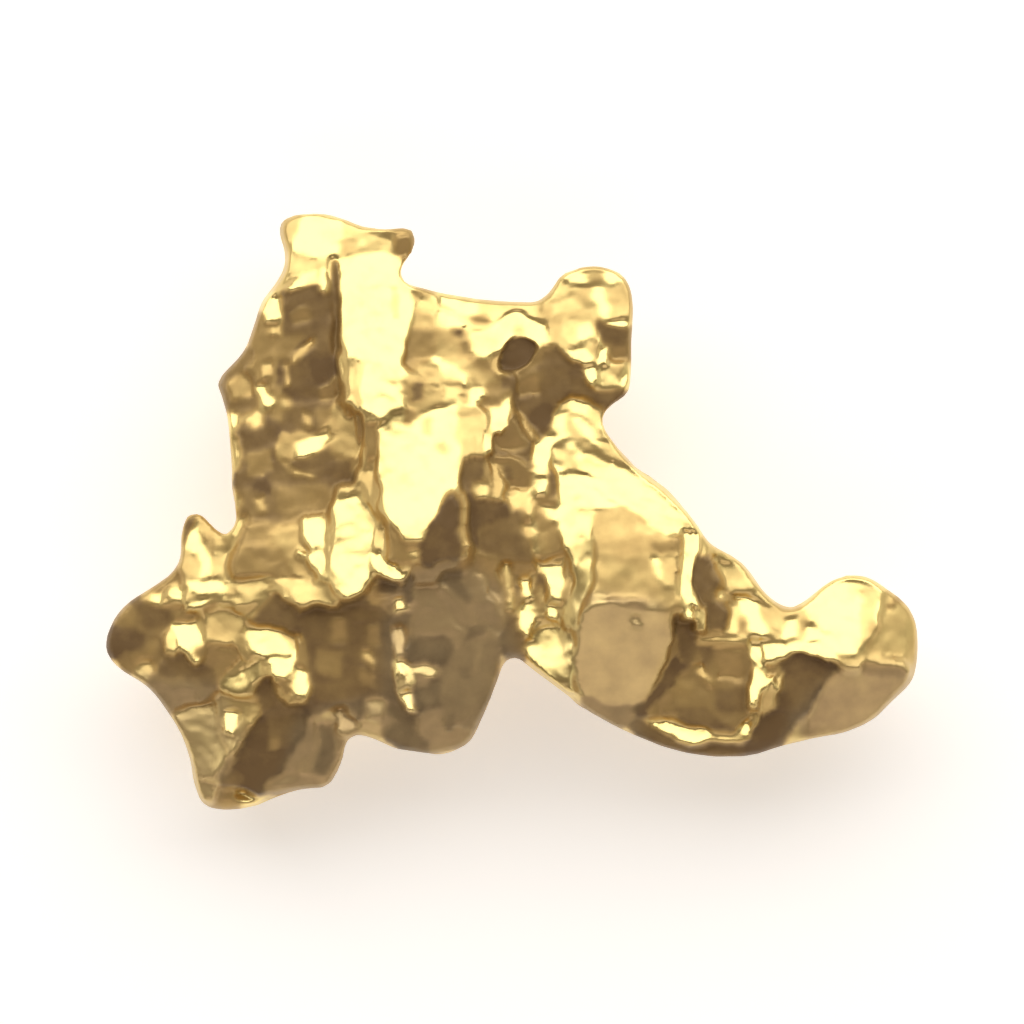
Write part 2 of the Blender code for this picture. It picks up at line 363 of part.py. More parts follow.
# ---------------------------------------------------------------- one sheet
def fill_points(rim, seed):
    """Points inside the outline: rows along the rim, then a loose triangular grid."""
    rng = np.random.default_rng(seed)
    tangent = np.roll(rim, -1, 0) - np.roll(rim, 1, 0)
    inward = np.column_stack([tangent[:, 1], -tangent[:, 0]])
    inward /= np.linalg.norm(inward, axis=1)[:, None]
    kept = []
    for ring in RIM_RINGS:
        row = rim + inward * ring
        clear = inside(row, rim) & (distance_to_line(row, rim, True) > 0.93 * ring)
        kept.append(row[clear])
    xs = np.arange(-LENGTH / 2, LENGTH / 2, FILL_STEP)
    ys = np.arange(-WIDTH / 2, WIDTH / 2, FILL_STEP * math.sqrt(0.75))
    grid = np.array([(x + (k % 2) * FILL_STEP / 2, y) for k, y in enumerate(ys) for x in xs])
    grid += rng.uniform(-1, 1, grid.shape) * JITTER * FILL_STEP
    grid = grid[inside(grid, rim)]
    grid = grid[distance_to_line(grid, rim, True) > RIM_RINGS[-1] + 0.6 * FILL_STEP]
    return np.vstack(kept + [grid])


def triangulate(rim, fill):
    """Triangles over the outline, with the rim's points first in the list."""
    flat = [Vector(p) for p in np.vstack([rim, fill])]
    border = [(k, (k + 1) % len(rim)) for k in range(len(rim))]
    points, _, faces, _, _, _ = delaunay_2d_cdt(flat, border, [], 1, 1e-6)
    points = np.array([(p.x, p.y) for p in points])
    return points, np.array([f for f in faces if len(f) == 3])


def wander(points, seed):
    """Small sideways shifts that keep drawn edges from running straight."""
    shift = [noise.noise_vector(Vector((x, y, seed)) / WANDER_SIZE) for x, y in points]
    return np.array([(v.x, v.y) for v in shift]) * WANDER


class Sheet:
    """A triangulated sheet whose heights can be relaxed towards wanted rises."""

    def __init__(self, rim, seed):
        self.points, self.faces = triangulate(rim, fill_points(rim, seed))
        self.rim_count = len(rim)
        pairs, weights = [], []
        for k in range(3):
            a, b, c = (self.faces[:, (k + n) % 3] for n in range(3))
            u, v = self.points[a] - self.points[c], self.points[b] - self.points[c]
            area = np.abs(u[:, 0] * v[:, 1] - u[:, 1] * v[:, 0])
            cot = np.clip(np.sum(u * v, axis=1) / np.maximum(area, 1e-9), 0.03, 8.0)
            pairs.append(np.column_stack([a, b]))
            weights.append(cot)
        self.pairs, self.weights = np.vstack(pairs), np.concatenate(weights)
        corner = self.points[self.faces]
        u, v = corner[:, 1] - corner[:, 0], corner[:, 2] - corner[:, 0]
        area = np.abs(u[:, 0] * v[:, 1] - u[:, 1] * v[:, 0]) / 6
        self.areas = np.bincount(self.faces.ravel(), np.repeat(area, 3), len(self.points))
        self.strayed = self.points + wander(self.points, seed)

    def relax(self, rise, source, weights, hold=0.0, rounds=1500):
        """Heights, zero on the rim, whose rises along the edges come nearest to the rise.

        hold is how firmly each point is also tied to its own wanted height, which the
        caller has put into source as hold times that height.
        """
        a, b = self.pairs.T
        count = len(self.points)
        free = np.ones(count)
        free[:self.rim_count] = 0

        def spread(flow):
            return (np.bincount(b, flow, count) - np.bincount(a, flow, count)) * free

        ease_off = np.bincount(a, weights, count) + np.bincount(b, weights, count) + hold
        height = np.zeros(count)
        left = spread(weights * rise) + source * free
        eased = left / ease_off
        step, size = eased.copy(), left @ eased
        for _ in range(rounds):
            pull = spread(weights * (step[b] - step[a])) + hold * step * free
            share = size / max(step @ pull, 1e-30)
            height += share * step
            left -= share * pull
            eased = left / ease_off
            new = left @ eased
            if new < 1e-12:
                break
            step, size = eased + new / size * step, new
        return height

    def pillow(self, swell):
        """Height of a film blown up from the outline, upright where it meets the rim."""
        blown = self.relax(np.zeros(len(self.pairs)), self.areas, 0.5 * self.weights)
        dome = np.sqrt(4 * np.maximum(blown, 0))
        return swell * SWELL_LIMIT * np.tanh(dome / SWELL_LIMIT)

    def lay_facets(self, height, facets, rim_level):
        """Set each facet's plane and let the metal between them follow the pillow."""
        a, b = self.pairs.T
        rise = height[b] - height[a]
        middle = (self.strayed[a] + self.strayed[b]) / 2
        hold, plane = np.zeros(len(height)), np.zeros(len(height))
        for corners, level, slope in facets.values():
            centre = np.mean(corners, axis=0)
            tilt = np.array(slope)
            along = inside(middle, corners)
            rise[along] = (self.points[b] - self.points[a])[along] @ tilt
            on_it = inside(self.strayed, corners)
            hold[on_it] = FACET_GRIP * self.areas[on_it]
            plane[on_it] = (level + (self.points - centre) @ tilt - rim_level)[on_it]
        return self.relax(rise, hold * plane, self.weights, hold)

    def press(self, height, hollows, ridges):
        """Sink the hollows and raise the ridges, fading out towards the rim."""
        edge = distance_to_line(self.points, self.points[:self.rim_count], True)
        fade = ease(edge / RIM_FADE)
        for corners, depth, wall in hollows.values():
            reach = distance_to_line(self.strayed, corners, True)
            reach = np.where(inside(self.strayed, corners), reach, -reach)
            height = height - fade * depth * ease((reach + wall / 2) / wall)
        for line, lift, half_width in ridges.values():
            reach = distance_to_line(self.strayed, line) / half_width
            height = height + fade * lift * np.exp(-reach ** 2)
        return height


# ---------------------------------------------------------------- the nugget
def rim_height(points):
    """Height of the outline at each point, blended from the nearest stated heights."""
    total, share = np.zeros(len(points)), np.full(len(points), 1e-9)
    for x, y, height in RIM_HEIGHTS:
        pull = 1 / (0.05 + np.hypot(points[:, 0] - x, points[:, 1] - y) ** 4)
        total += pull * height
        share += pull
    return total / share


def unevenness(points, seed):
    """Broad, low unevenness of the metal."""
    offset = Vector((seed * 7.3, seed * 3.1, 0.0))
    return np.array([noise.noise(Vector((x, y, 0.0)) / GRAIN_SIZE + offset)
                     for x, y in points]) * GRAIN_HEIGHT


def front_sheet(rim):
    sheet = Sheet(rim, seed=4)
    roll = EDGE_ROLL * np.tanh(sheet.pillow(FRONT_SWELL) / EDGE_ROLL)
    height = sheet.lay_facets(roll, FACETS, rim_height(sheet.points))
    height = sheet.press(height, HOLLOWS, RIDGES)
    edge = distance_to_line(sheet.points, rim, True)
    height += unevenness(sheet.points, 1) * ease(edge / ROUGHEN_REACH)
    least = LEAST_RISE * np.sqrt(edge) - SINK * ease((edge - SINK_START) / SINK_REACH)
    height = np.maximum(height, least)
    return sheet, rim_height(sheet.points) + height


def back_sheet(rim):
    sheet = Sheet(rim, seed=9)
    height = sheet.pillow(BACK_SWELL)
    for centre, lift, radius in [*BACK_FEET.values(), *BACK_BULGES.values()]:
        reach = np.linalg.norm(sheet.points - centre, axis=1) / radius
        height += lift * np.exp(-reach ** 2) * np.minimum(height / 0.8, 1)
    height = sheet.press(height, BACK_HOLLOWS, BACK_RIDGES)
    edge = distance_to_line(sheet.points, rim, True)
    height += BACK_GRAIN * unevenness(sheet.points, 2) * ease(edge / ROUGHEN_REACH)
    height = np.maximum(height, LEAST_RISE * np.sqrt(edge))
    level = rim_height(sheet.points) - height
    return sheet, level_feet(sheet.points, level)


def level_feet(points, level):
    """Bring the feet down to one table, and hold the rest of the back clear of it."""
    near = {name: np.linalg.norm(points - centre, axis=1)
            for name, (centre, _, _) in BACK_FEET.items()}
    low = {name: level[away < FOOT_REACH].min() for name, away in near.items()}
    table = min(low.values())
    for name, away in near.items():
        level = level - (low[name] - table) * np.exp(-(away / FOOT_SPREAD) ** 2)
    between = ease((np.min(list(near.values()), axis=0) - FOOT_REACH) / FOOT_REACH)
    clear = table + (FLAT_DEPTH + FOOT_CLEARANCE) * between
    return np.maximum(level, clear)


def join_sheets(front, front_z, back, back_z):
    """One closed mesh: both sheets share the rim's points."""
    bm = bmesh.new()
    top = [bm.verts.new((x * MM, y * MM, z * MM)) for (x, y), z in zip(front.points, front_z)]
    low = top[:back.rim_count]
    for (x, y), z in zip(back.points[back.rim_count:], back_z[back.rim_count:]):
        low.append(bm.verts.new((x * MM, y * MM, z * MM)))
    for a, b, c in front.faces:
        bm.faces.new((top[a], top[b], top[c]))
    for a, b, c in back.faces:
        bm.faces.new((low[c], low[b], low[a]))
    bmesh.ops.recalc_face_normals(bm, faces=bm.faces)
    return bm


def thinned(bm):
    """The same solid with fewer, larger triangles where the metal is smooth."""
    mesh = bpy.data.meshes.new("dense nugget")
    bm.to_mesh(mesh)
    bm.free()
    dense = bpy.data.objects.new("dense nugget", mesh)
    bpy.context.scene.collection.objects.link(dense)
    decimate = dense.modifiers.new("fewer faces", 'DECIMATE')
    decimate.ratio = min(1.0, TRIANGLES / len(mesh.polygons))
    graph = bpy.context.evaluated_depsgraph_get()
    thin = bmesh.new()
    thin.from_object(dense, graph)
    bpy.data.objects.remove(dense, do_unlink=True)
    return thin


def set_down(bm):
    """Wear the lowest bulges flat, put the flats on the table and centre the footprint."""
    lowest = min(v.co.z for v in bm.verts)
    cut = bmesh.ops.bisect_plane(bm, geom=bm.verts[:] + bm.edges[:] + bm.faces[:],
                                 plane_co=(0, 0, lowest + FLAT_DEPTH * MM),
                                 plane_no=(0, 0, 1), clear_inner=True)
    loops = [e for e in cut["geom_cut"] if isinstance(e, bmesh.types.BMEdge)]
    bmesh.ops.holes_fill(bm, edges=loops, sides=0)
    bmesh.ops.triangulate(bm, faces=[f for f in bm.faces if len(f.verts) > 3])
    middle = [(max(v.co[k] for v in bm.verts) + min(v.co[k] for v in bm.verts)) / 2
              for k in (0, 1)]
    shift = Vector((-middle[0], -middle[1], -lowest - FLAT_DEPTH * MM))
    bmesh.ops.translate(bm, vec=shift, verts=bm.verts)
    bmesh.ops.recalc_face_normals(bm, faces=bm.faces)


def gold_material():
    material = bpy.data.materials.new("native gold")
    material.use_nodes = True
    surface = material.node_tree.nodes["Principled BSDF"]
    surface.inputs["Base Color"].default_value = (1.0, 0.76, 0.33, 1.0)
    surface.inputs["Metallic"].default_value = 1.0
    surface.inputs["Roughness"].default_value = 0.28
    material.diffuse_color = (0.83, 0.65, 0.25, 1.0)
    return material


def make_nugget():
    rim = even_loop(smooth_loop(OUTLINE), RIM_STEP)
    front, front_z = front_sheet(rim)
    back, back_z = back_sheet(rim)
    bm = thinned(join_sheets(front, front_z, back, back_z))
    set_down(bm)
    mesh = bpy.data.meshes.new("gold_nugget")
    bm.to_mesh(mesh)
    bm.free()
    mesh.materials.append(gold_material())
    mesh.shade_smooth()
    nugget = bpy.data.objects.new("gold_nugget", mesh)
    return nugget


def main():
    for thing in list(bpy.data.objects):
        bpy.data.objects.remove(thing, do_unlink=True)
    collection = bpy.data.collections.new("gold nugget")
    bpy.context.scene.collection.children.link(collection)
    collection.objects.link(make_nugget())


main()
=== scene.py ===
"""Gold nugget, dressed: native gold that is bright on its raised facets and filmed with brown in its hollows and
on its shaded faces, a brown that is partly painted shade.

The skin is a welded copy of the solid, evened and made finer on the front. Its facets are then laid at their
exact heights and slopes, chips and ridges are worked in, and a film is brushed into the hollows, onto shaded
faces and up steep walls: a brown film that is partly painted shade. Lengths in the lists are millimetres: x and
y from the middle of the footprint, heights above the table, slopes in mm of rise per mm.
"""

import math

import bmesh
import bpy
import numpy as np
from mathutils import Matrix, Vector, noise
from mathutils.kdtree import KDTree


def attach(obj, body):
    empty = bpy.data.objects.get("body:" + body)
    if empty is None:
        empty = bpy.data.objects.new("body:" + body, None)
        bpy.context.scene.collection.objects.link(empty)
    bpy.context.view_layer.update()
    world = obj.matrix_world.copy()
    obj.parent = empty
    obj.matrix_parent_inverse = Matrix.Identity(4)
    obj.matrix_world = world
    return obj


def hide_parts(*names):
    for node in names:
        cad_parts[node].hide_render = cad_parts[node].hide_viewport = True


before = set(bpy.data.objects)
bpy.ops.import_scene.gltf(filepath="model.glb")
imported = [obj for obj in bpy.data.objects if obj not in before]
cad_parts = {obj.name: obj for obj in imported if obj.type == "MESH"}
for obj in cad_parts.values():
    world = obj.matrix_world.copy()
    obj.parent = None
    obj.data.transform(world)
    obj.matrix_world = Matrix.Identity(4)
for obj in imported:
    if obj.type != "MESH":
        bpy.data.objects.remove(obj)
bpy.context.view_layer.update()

# ---------------------------------------------------------------- sizes
MM = 0.001
WELD = 1e-4              # corners of the solid closer than this are one
SKIN_GRID = 0.106        # spacing of the evened skin, halved again on the front
FRONT_TILT = 0.05        # the front is where the skin faces up at least this much
FACET_GRIP = 0.0002      # how firmly a facet keeps to its height
BRIGHT_SPREAD = 0.04     # how far a facet without film or painted shade reaches past its drawn corners
SAME_LEAN = 0.15         # facets whose slopes differ by less than this join almost smoothly
JOINT_CARE = 0.12        # how much the slope across such a joint counts beside a facet's own
GAP_CARE = 0.005         # how much the slope between facets counts beside theirs
GAP_REACH = 0.25         # the metal this near a facet leans as the facet does
RIM_CARE = 0.1           # how firmly the rim keeps its own roundness
RIM_KEPT = 0.08          # beside the rim the solid's own form is kept
WANDERS = ((0.6, 0.09), (0.18, 0.035))   # size and reach of the waves in drawn edges
CRUMPLES = ((0.5, 0.018), (0.2, 0.010))  # size and height of the crumples of the metal
SIDE_FILM_AND_SHADE = 0.22         # thinnest film and painted shade on the sides and the back
STEEP_SHADE = 0.45        # painted shade on walls steeper than STEEP
STEEP = (0.85, 0.55)     # how far up a normal points where that painted shade starts and is full
RIM_GRIP = 0.004         # how firmly the rim keeps to its height
RIM_FOLLOW = 1.0         # the sides follow the rim up or down over this distance
FOOT_KEPT = (0.1, 0.7)   # heights where the sides start to follow and follow fully
SIDE_CRUMPLES = ((1.5, 0.08), (0.7, 0.05), (0.3, 0.016))   # the same for sides and back
SIDE_CLOUDS = (1.1, 0.5) # size and strength of the patches of film on them
FILM_AND_SHADE_RUN = 0.7           # the film and painted shade of the rim runs this far down the sides
RIM_FADE = 0.22          # fine work fades out over this distance from the rim
SOFTEN_ROUNDS = 2        # rounds of smoothing that leave the edges looking molten

# Facets of the front: corners, height of the middle, slope towards +X and +Y, film and painted shade.
FACETS = {
    # head
    "head corner": ([(-4.6, 5.9), (-4.3, 5.95), (-4.25, 5.3), (-4.5, 5.3)], 2.86,
                    (0.15, -0.25), 0.3),
    "head plate": ([(-4.22, 5.88), (-3.52, 5.85), (-3.35, 5.25), (-3.6, 5.1),
                    (-4.18, 5.12)], 3.06, (0.0, -0.38), 0.0),
    "head right": ([(-3.42, 5.78), (-2.95, 5.64), (-2.4, 5.58), (-2.38, 5.2),
                    (-3.2, 5.28)], 3.22, (0.0, -0.34), 0.2),
    "head horn": ([(-2.32, 5.62), (-2.0, 5.62), (-2.0, 5.3), (-2.2, 5.0), (-2.32, 5.2)],
                  3.12, (-0.05, 0.02), 0.55),
    "head shoulder": ([(-4.5, 5.2), (-4.2, 5.05), (-3.85, 4.9), (-3.9, 4.75),
                       (-4.35, 4.6), (-4.5, 4.95)], 3.0, (0.1, -0.15), 0.3),
    # tower
    "tower band": ([(-3.5, 5.1), (-2.25, 5.15), (-2.12, 4.75), (-1.98, 4.4), (-1.95, 3.9),
                    (-2.12, 3.4), (-2.25, 2.95), (-2.15, 2.4), (-2.14, 1.95), (-2.4, 1.95),
                    (-2.62, 1.88), (-2.95, 2.0), (-3.05, 2.92), (-3.3, 3.0), (-3.42, 3.3),
                    (-3.55, 3.8), (-3.5, 4.4)], 3.8,
                   (0.0, -0.4), 0.0),
    "neck strip": ([(-3.3, 3.0), (-3.08, 3.0), (-3.05, 2.2), (-3.3, 2.2)], 3.95,
                   (0.1, -0.3), 0.3),
    "tower spine": ([(-2.95, 1.95), (-2.65, 1.9), (-2.7, 0.3), (-3.0, 0.5)], 4.16,
                    (0.3, -0.12), 0.3),
    "tower floor upper": ([(-4.5, 4.2), (-4.05, 4.5), (-3.72, 4.3), (-3.68, 3.5),
                           (-4.1, 3.55), (-4.6, 3.6)], 3.01, (0.04, 0.0), 0.9),
    "tower floor": ([(-4.6, 3.5), (-4.1, 3.5), (-3.7, 3.3), (-3.65, 2.3), (-4.4, 2.2),
                     (-4.6, 2.6)], 3.0, (0.05, 0.05), 0.95),
    "tower rim face": ([(-5.05, 3.9), (-4.78, 4.15), (-4.75, 2.6), (-5.05, 2.5)], 3.31,
                       (0.05, -0.05), 0.6),
    "tower side": ([(-5.75, 2.6), (-5.6, 2.9), (-5.2, 3.1), (-5.1, 2.2), (-5.5, 1.9),
                    (-5.7, 2.2)], 3.0, (0.3, -0.02), 0.75),
    "tower flank": ([(-5.45, 1.7), (-4.9, 1.9), (-4.7, 0.9), (-5.35, 0.6)], 3.06,
                    (0.15, 0.03), 0.9),
    "tower shelf": ([(-4.5, 2.1), (-3.6, 2.2), (-3.7, 1.75), (-4.1, 1.55), (-4.5, 1.75)],
                    3.06, (0.05, 0.03), 0.85),
    "tower lee": ([(-3.3, 2.1), (-3.05, 1.9), (-3.1, 0.9), (-3.3, 0.7), (-3.5, 1.2)],
                  3.3, (0.15, 0.05), 0.6),
    "crescent floor": ([(-4.9, 1.1), (-4.6, 0.95), (-4.1, 1.1), (-3.6, 1.35), (-3.4, 0.8),
                        (-4.0, 0.55), (-4.9, 0.6)], 2.95, (0.03, 0.0), 0.85),
    "tower root": ([(-5.35, 0.4), (-4.7, 0.5), (-4.65, -0.1), (-5.35, -0.25)], 3.11,
                   (0.05, -0.03), 0.75),
    # crown and saddle
    "crown face": ([(-2.62, 1.65), (-2.48, 1.95), (-2.14, 2.0), (-1.95, 1.8),
                    (-1.6, 2.02), (-1.15, 2.1), (-1.05, 1.5), (-1.02, 1.0), (-1.18, 0.5),
                    (-1.43, 0.22), (-1.64, -0.2), (-1.72, -0.47), (-2.1, -0.52),
                    (-2.35, -0.3), (-2.62, 0.1)], 4.77, (0.0, -0.39), 0.0),
    "crown side": ([(-1.08, 2.05), (-0.6, 2.08), (-0.5, 1.6), (-0.6, 1.1), (-0.95, 1.0)],
                   4.3, (-0.1, -0.2), 0.3),
    "crown lee": ([(-1.2, 0.3), (-1.05, 0.0), (-1.05, -0.6), (-1.3, -0.9), (-1.6, -1.1),
                   (-1.85, -0.9), (-1.6, -0.3), (-1.3, 0.1)], 4.46, (0.0, 0.04), 1),
    "shoulder": ([(-3.55, 0.1), (-2.85, 0.1), (-2.8, -1.4), (-3.2, -1.65), (-3.65, -1.2)],
                 4.16, (0.0, -0.4), 0.0),
    "shoulder oval": ([(-4.1, -0.05), (-3.8, -0.02), (-3.75, -0.6), (-3.95, -0.7),
                       (-4.12, -0.45)], 3.65, (0.0, -0.38), 0.0),
    "shoulder strip": ([(-2.75, -0.5), (-2.5, -0.6), (-2.1, -1.25), (-2.2, -1.4),
                        (-2.45, -1.2), (-2.65, -0.8)], 4.5, (0.05, -0.38), 0.0),
    "shoulder foot": ([(-2.75, -1.35), (-2.3, -1.5), (-2.2, -1.65), (-2.7, -1.75)], 4.4,
                      (0.0, 0.02), 0.5),
    "saddle": ([(-5.2, -0.45), (-4.2, -0.4), (-4.0, -1.15), (-5.1, -1.2)], 3.36,
               (0.03, -0.1), 0.45),
    "saddle wall": ([(-4.5, 0.45), (-3.65, 0.45), (-3.75, 0.05), (-4.3, -0.15),
                     (-4.55, -0.2)], 3.31, (0.05, 0.0), 0.65),
    # bridge and right knob
    "bridge": ([(-1.85, 4.3), (0.0, 4.1), (0.0, 3.75), (-0.9, 3.65), (-1.5, 3.75)], 3.16,
               (0.0, -0.2), 0.15),
    "bridge middle": ([(-1.45, 3.6), (-0.95, 3.55), (-0.9, 3.1), (-1.4, 3.0)], 3.35,
                      (0.0, -0.18), 0.4),
    "bridge pit": ([(-1.95, 3.62), (-1.58, 3.6), (-1.62, 3.3), (-1.8, 3.05),
                    (-2.15, 3.05), (-2.05, 3.3)], 3.2, (0.0, -0.02), 0.6),
    "bridge hollow": ([(-2.1, 2.6), (-1.45, 2.6), (-1.4, 2.2), (-1.65, 2.2),
                       (-1.85, 2.0), (-2.1, 1.9)], 3.6, (0.0, 0.0), 0.4),
    "bridge low": ([(-1.35, 2.95), (-0.95, 3.05), (-0.6, 2.5), (-0.75, 2.25),
                    (-1.35, 2.3)], 3.6, (0.0, -0.12), 0.4),
    "bridge root": ([(-0.5, 2.85), (-0.1, 2.75), (0.0, 2.4), (-0.45, 2.35)], 3.5,
                    (0.0, -0.08), 0.6),
    "pocket floor": ([(0.15, 3.4), (0.45, 3.28), (0.36, 3.08), (0.05, 2.95),
                      (-0.25, 2.95), (-0.2, 3.1)], 2.6, (0.0, 0.0), 1),
    "knob crown": ([(1.0, 4.65), (2.2, 4.6), (2.3, 4.0), (1.7, 3.95), (1.1, 4.0)], 3.05,
                   (0.0, -0.24), 0.15),
    "knob face": ([(0.9, 3.9), (1.7, 3.85), (1.75, 3.2), (1.35, 3.0), (1.0, 3.35)], 3.35,
                  (0.0, -0.26), 0.05),
    "knob side": ([(1.8, 3.78), (2.0, 3.66), (2.4, 3.62), (2.4, 3.1), (2.0, 3.02),
                   (1.88, 3.3)], 3.26, (0.0, 0.04), 0.65),
    "knob low": ([(1.55, 2.95), (2.3, 2.92), (2.25, 2.5), (1.75, 2.5)], 3.4,
                 (-0.05, -0.18), 0.1),
    "knob foot": ([(1.75, 2.38), (2.0, 2.45), (2.3, 2.38), (2.1, 2.2), (1.9, 2.1)], 3.2,
                  (0.0, 0.05), 0.6),
    # crevice between the knob and the arm
    "crevice floor": ([(0.9, 3.2), (1.1, 2.95), (1.25, 2.5), (0.9, 2.1), (0.55, 1.55),
                       (0.15, 2.02), (0.15, 2.4), (0.3, 2.7), (0.6, 2.9)], 3.06,
                      (0.02, 0.02), 0.95),
    "crevice foot": ([(0.05, 1.9), (0.38, 1.3), (0.2, 1.1), (-0.4, 1.1), (-0.3, 1.5)],
                     3.2, (0.0, 0.02), 0.85),
    "crevice cheek": ([(-0.42, 2.2), (-0.05, 2.1), (0.0, 1.7), (-0.35, 1.62)], 3.75,
                      (0.0, -0.4), 0.0),
    "rift head": ([(-0.6, 1.0), (0.35, 1.0), (0.4, 0.35), (-0.5, 0.3)], 3.6,
                  (0.0, -0.08), 0.5),
    # arm
    "arm head": ([(0.7, 2.1), (1.65, 2.1), (1.8, 1.7), (1.7, 1.3), (1.0, 1.2)], 3.56,
                 (0.0, -0.25), 0.05),
    "arm crest": ([(1.3, 1.2), (1.7, 1.1), (2.2, 0.85), (2.9, 0.3), (3.6, -0.3),
                   (3.4, -0.6), (3.1, -0.52), (2.8, -0.3), (2.4, 0.02), (1.7, 0.08)],
                  3.86, (-0.08, -0.42), 0.0),
    "arm top": ([(1.6, 0.0), (2.4, -0.05), (2.8, -0.4), (3.3, -0.75), (3.3, -1.6),
                 (1.75, -1.4)], 4.36, (0.0, -0.22), 0.45),
    "arm belly": ([(1.35, -1.95), (2.0, -1.8), (2.6, -2.0), (3.1, -2.1), (3.1, -2.9),
                   (2.6, -3.75), (1.9, -3.9), (1.25, -3.2)], 3.91, (0.0, 0.45), 0.3),
    "arm left": ([(0.4, 0.9), (0.95, 0.8), (0.95, 0.0), (0.9, -0.9), (0.6, -1.0),
                  (0.25, 0.0)], 3.5, (0.05, -0.15), 0.15),
    "arm hem": ([(0.22, -2.72), (0.45, -2.65), (0.6, -2.45), (0.85, -2.3), (1.12, -2.3),
                 (1.2, -2.6), (1.15, -3.0), (1.08, -3.55), (0.75, -3.25), (0.4, -2.95)], 2.9, (0.0, -0.42), 0.0),
    "rift upper": ([(-0.6, 0.15), (0.15, 0.15), (0.3, -1.0), (-0.6, -1.0)], 3.55,
                   (0.0, 0.03), 0.8),
    "rift valley": ([(-0.4, -1.15), (0.55, -1.15), (0.75, -2.2), (0.2, -2.4),
                     (-0.3, -2.0)], 3.15, (0.0, -0.05), 0.55),
    "rift bright": ([(0.65, -1.1), (1.05, -1.1), (1.05, -1.7), (0.95, -1.8)], 3.3,
                    (0.0, -0.38), 0.0),
    "wrist back": ([(3.95, -0.8), (4.5, -1.1), (5.2, -1.85), (4.7, -1.75), (4.3, -1.5)],
                   3.26, (0.0, -0.24), 0.2),
    "wrist pit": ([(3.72, -0.95), (3.95, -0.92), (4.05, -1.25), (4.02, -1.65),
                   (3.82, -1.75), (3.65, -1.4)], 3.3, (0.0, 0.0), 0.7),
    "wrist shelf": ([(3.75, -2.38), (4.8, -2.42), (4.8, -2.62), (3.7, -2.65)], 3.5,
                    (0.0, -0.14), 0.42),
    "wrist blob": ([(4.5, -1.75), (4.9, -1.8), (5.05, -2.35), (4.7, -2.35)], 3.6,
                   (0.0, -0.42), 0.0),
    "wrist saddle": ([(5.1, -2.1), (5.8, -2.1), (5.7, -2.6), (5.1, -2.6)], 3.36,
                     (0.0, -0.32), 0.3),
    "box ledge": ([(3.2, -2.2), (3.62, -2.25), (3.66, -2.65), (3.35, -3.1),
                   (3.05, -3.5), (2.8, -3.95), (2.6, -3.88), (2.95, -3.35),
                   (3.2, -2.9)], 3.2, (0.0, 0.05), 0.6),
    "box floor": ([(3.75, -2.8), (4.7, -2.75), (4.75, -4.1), (4.2, -4.25), (3.45, -4.1),
                   (3.1, -4.0), (3.4, -3.5)], 2.96, (0.0, 0.0), 0.7),
    "triangle floor": ([(5.4, -3.0), (5.7, -2.86), (6.1, -2.9), (6.45, -3.1),
                        (6.25, -3.4), (5.8, -3.85), (5.5, -3.95), (5.42, -3.6)], 2.86,
                       (0.0, 0.0), 1),
    "triangle side": ([(5.08, -3.15), (5.33, -3.2), (5.35, -3.6), (5.4, -3.95),
                       (5.05, -4.0)], 3.06, (0.0, 0.42), 0.1),
    # end knob
    "end face": ([(6.0, -1.8), (6.4, -1.5), (6.8, -1.42), (7.3, -1.5), (7.27, -2.2),
                  (7.0, -2.6), (6.7, -2.9), (6.3, -2.4), (5.97, -2.1)], 3.46,
                 (0.05, -0.37), 0.0),
    "end side": ([(7.4, -1.7), (7.9, -2.2), (7.95, -3.0), (7.2, -3.1), (7.15, -2.6),
                  (7.4, -2.2)], 3.31, (-0.35, -0.15), 0.35),
    "end belly": ([(6.45, -3.2), (7.95, -3.32), (7.2, -4.0), (5.95, -4.3), (6.2, -3.6)],
                  3.26, (0.0, 0.5), 0.45),
    # middle lobe
    "middle lobe": ([(-1.9, -1.6), (-0.6, -1.3), (-0.5, -2.4), (-1.95, -2.4)], 3.85,
                    (0.0, 0.05), 0.55),
    "middle right": ([(-1.3, -3.1), (-0.5, -2.6), (-0.55, -3.4), (-0.9, -4.15),
                      (-1.4, -4.2)], 3.7, (0.0, 0.08), 0.75),
    "middle slot": ([(-2.2, -2.6), (-1.35, -2.55), (-1.35, -3.0), (-2.2, -3.0)], 3.65,
                    (0.0, 0.0), 0.95),
    "middle pit": ([(-1.9, -3.4), (-1.45, -3.4), (-1.45, -3.95), (-1.9, -3.95)], 3.55,
                   (0.0, 0.02), 0.95),
    "middle toe": ([(-1.9, -4.2), (-1.1, -4.3), (-0.95, -4.5), (-1.9, -4.6)], 3.2,
                   (0.0, 0.3), 0.6),
    # left lobe and lower lobe
    "left lobe": ([(-7.9, -2.2), (-7.0, -1.95), (-6.85, -2.9), (-7.6, -3.0)], 3.06,
                  (0.06, 0.04), 0.75),
    "left brow": ([(-7.4, -1.75), (-6.5, -1.3), (-6.3, -1.7), (-7.0, -1.85)], 3.16,
                  (0.0, -0.34), 0.4),
    "peak face": ([(-6.5, -0.2), (-6.2, -0.15), (-5.95, -0.9), (-6.4, -1.1)], 3.16,
                  (0.05, -0.32), 0.0),
    "folds": ([(-6.2, -1.7), (-5.6, -1.85), (-5.3, -2.3), (-6.1, -2.4)], 3.5,
              (0.0, -0.15), 0.2),
    "lobe band": ([(-5.6, -1.35), (-4.9, -1.3), (-3.75, -1.35), (-3.6, -1.85),
                   (-4.3, -1.8), (-4.65, -1.55), (-5.1, -1.7), (-5.5, -1.75)], 3.71,
                  (0.0, -0.3), 0.05),
    "lobe tip": ([(-4.7, -1.7), (-4.35, -1.95), (-4.3, -2.3), (-4.9, -2.25),
                  (-5.25, -2.2)], 3.5, (0.0, 0.04), 0.95),
    "lobe floor": ([(-4.1, -2.0), (-3.4, -1.95), (-2.5, -1.9), (-2.45, -2.9),
                    (-2.5, -3.6), (-3.9, -3.9), (-4.0, -3.2)], 3.41, (0.02, 0.04), 0.9),
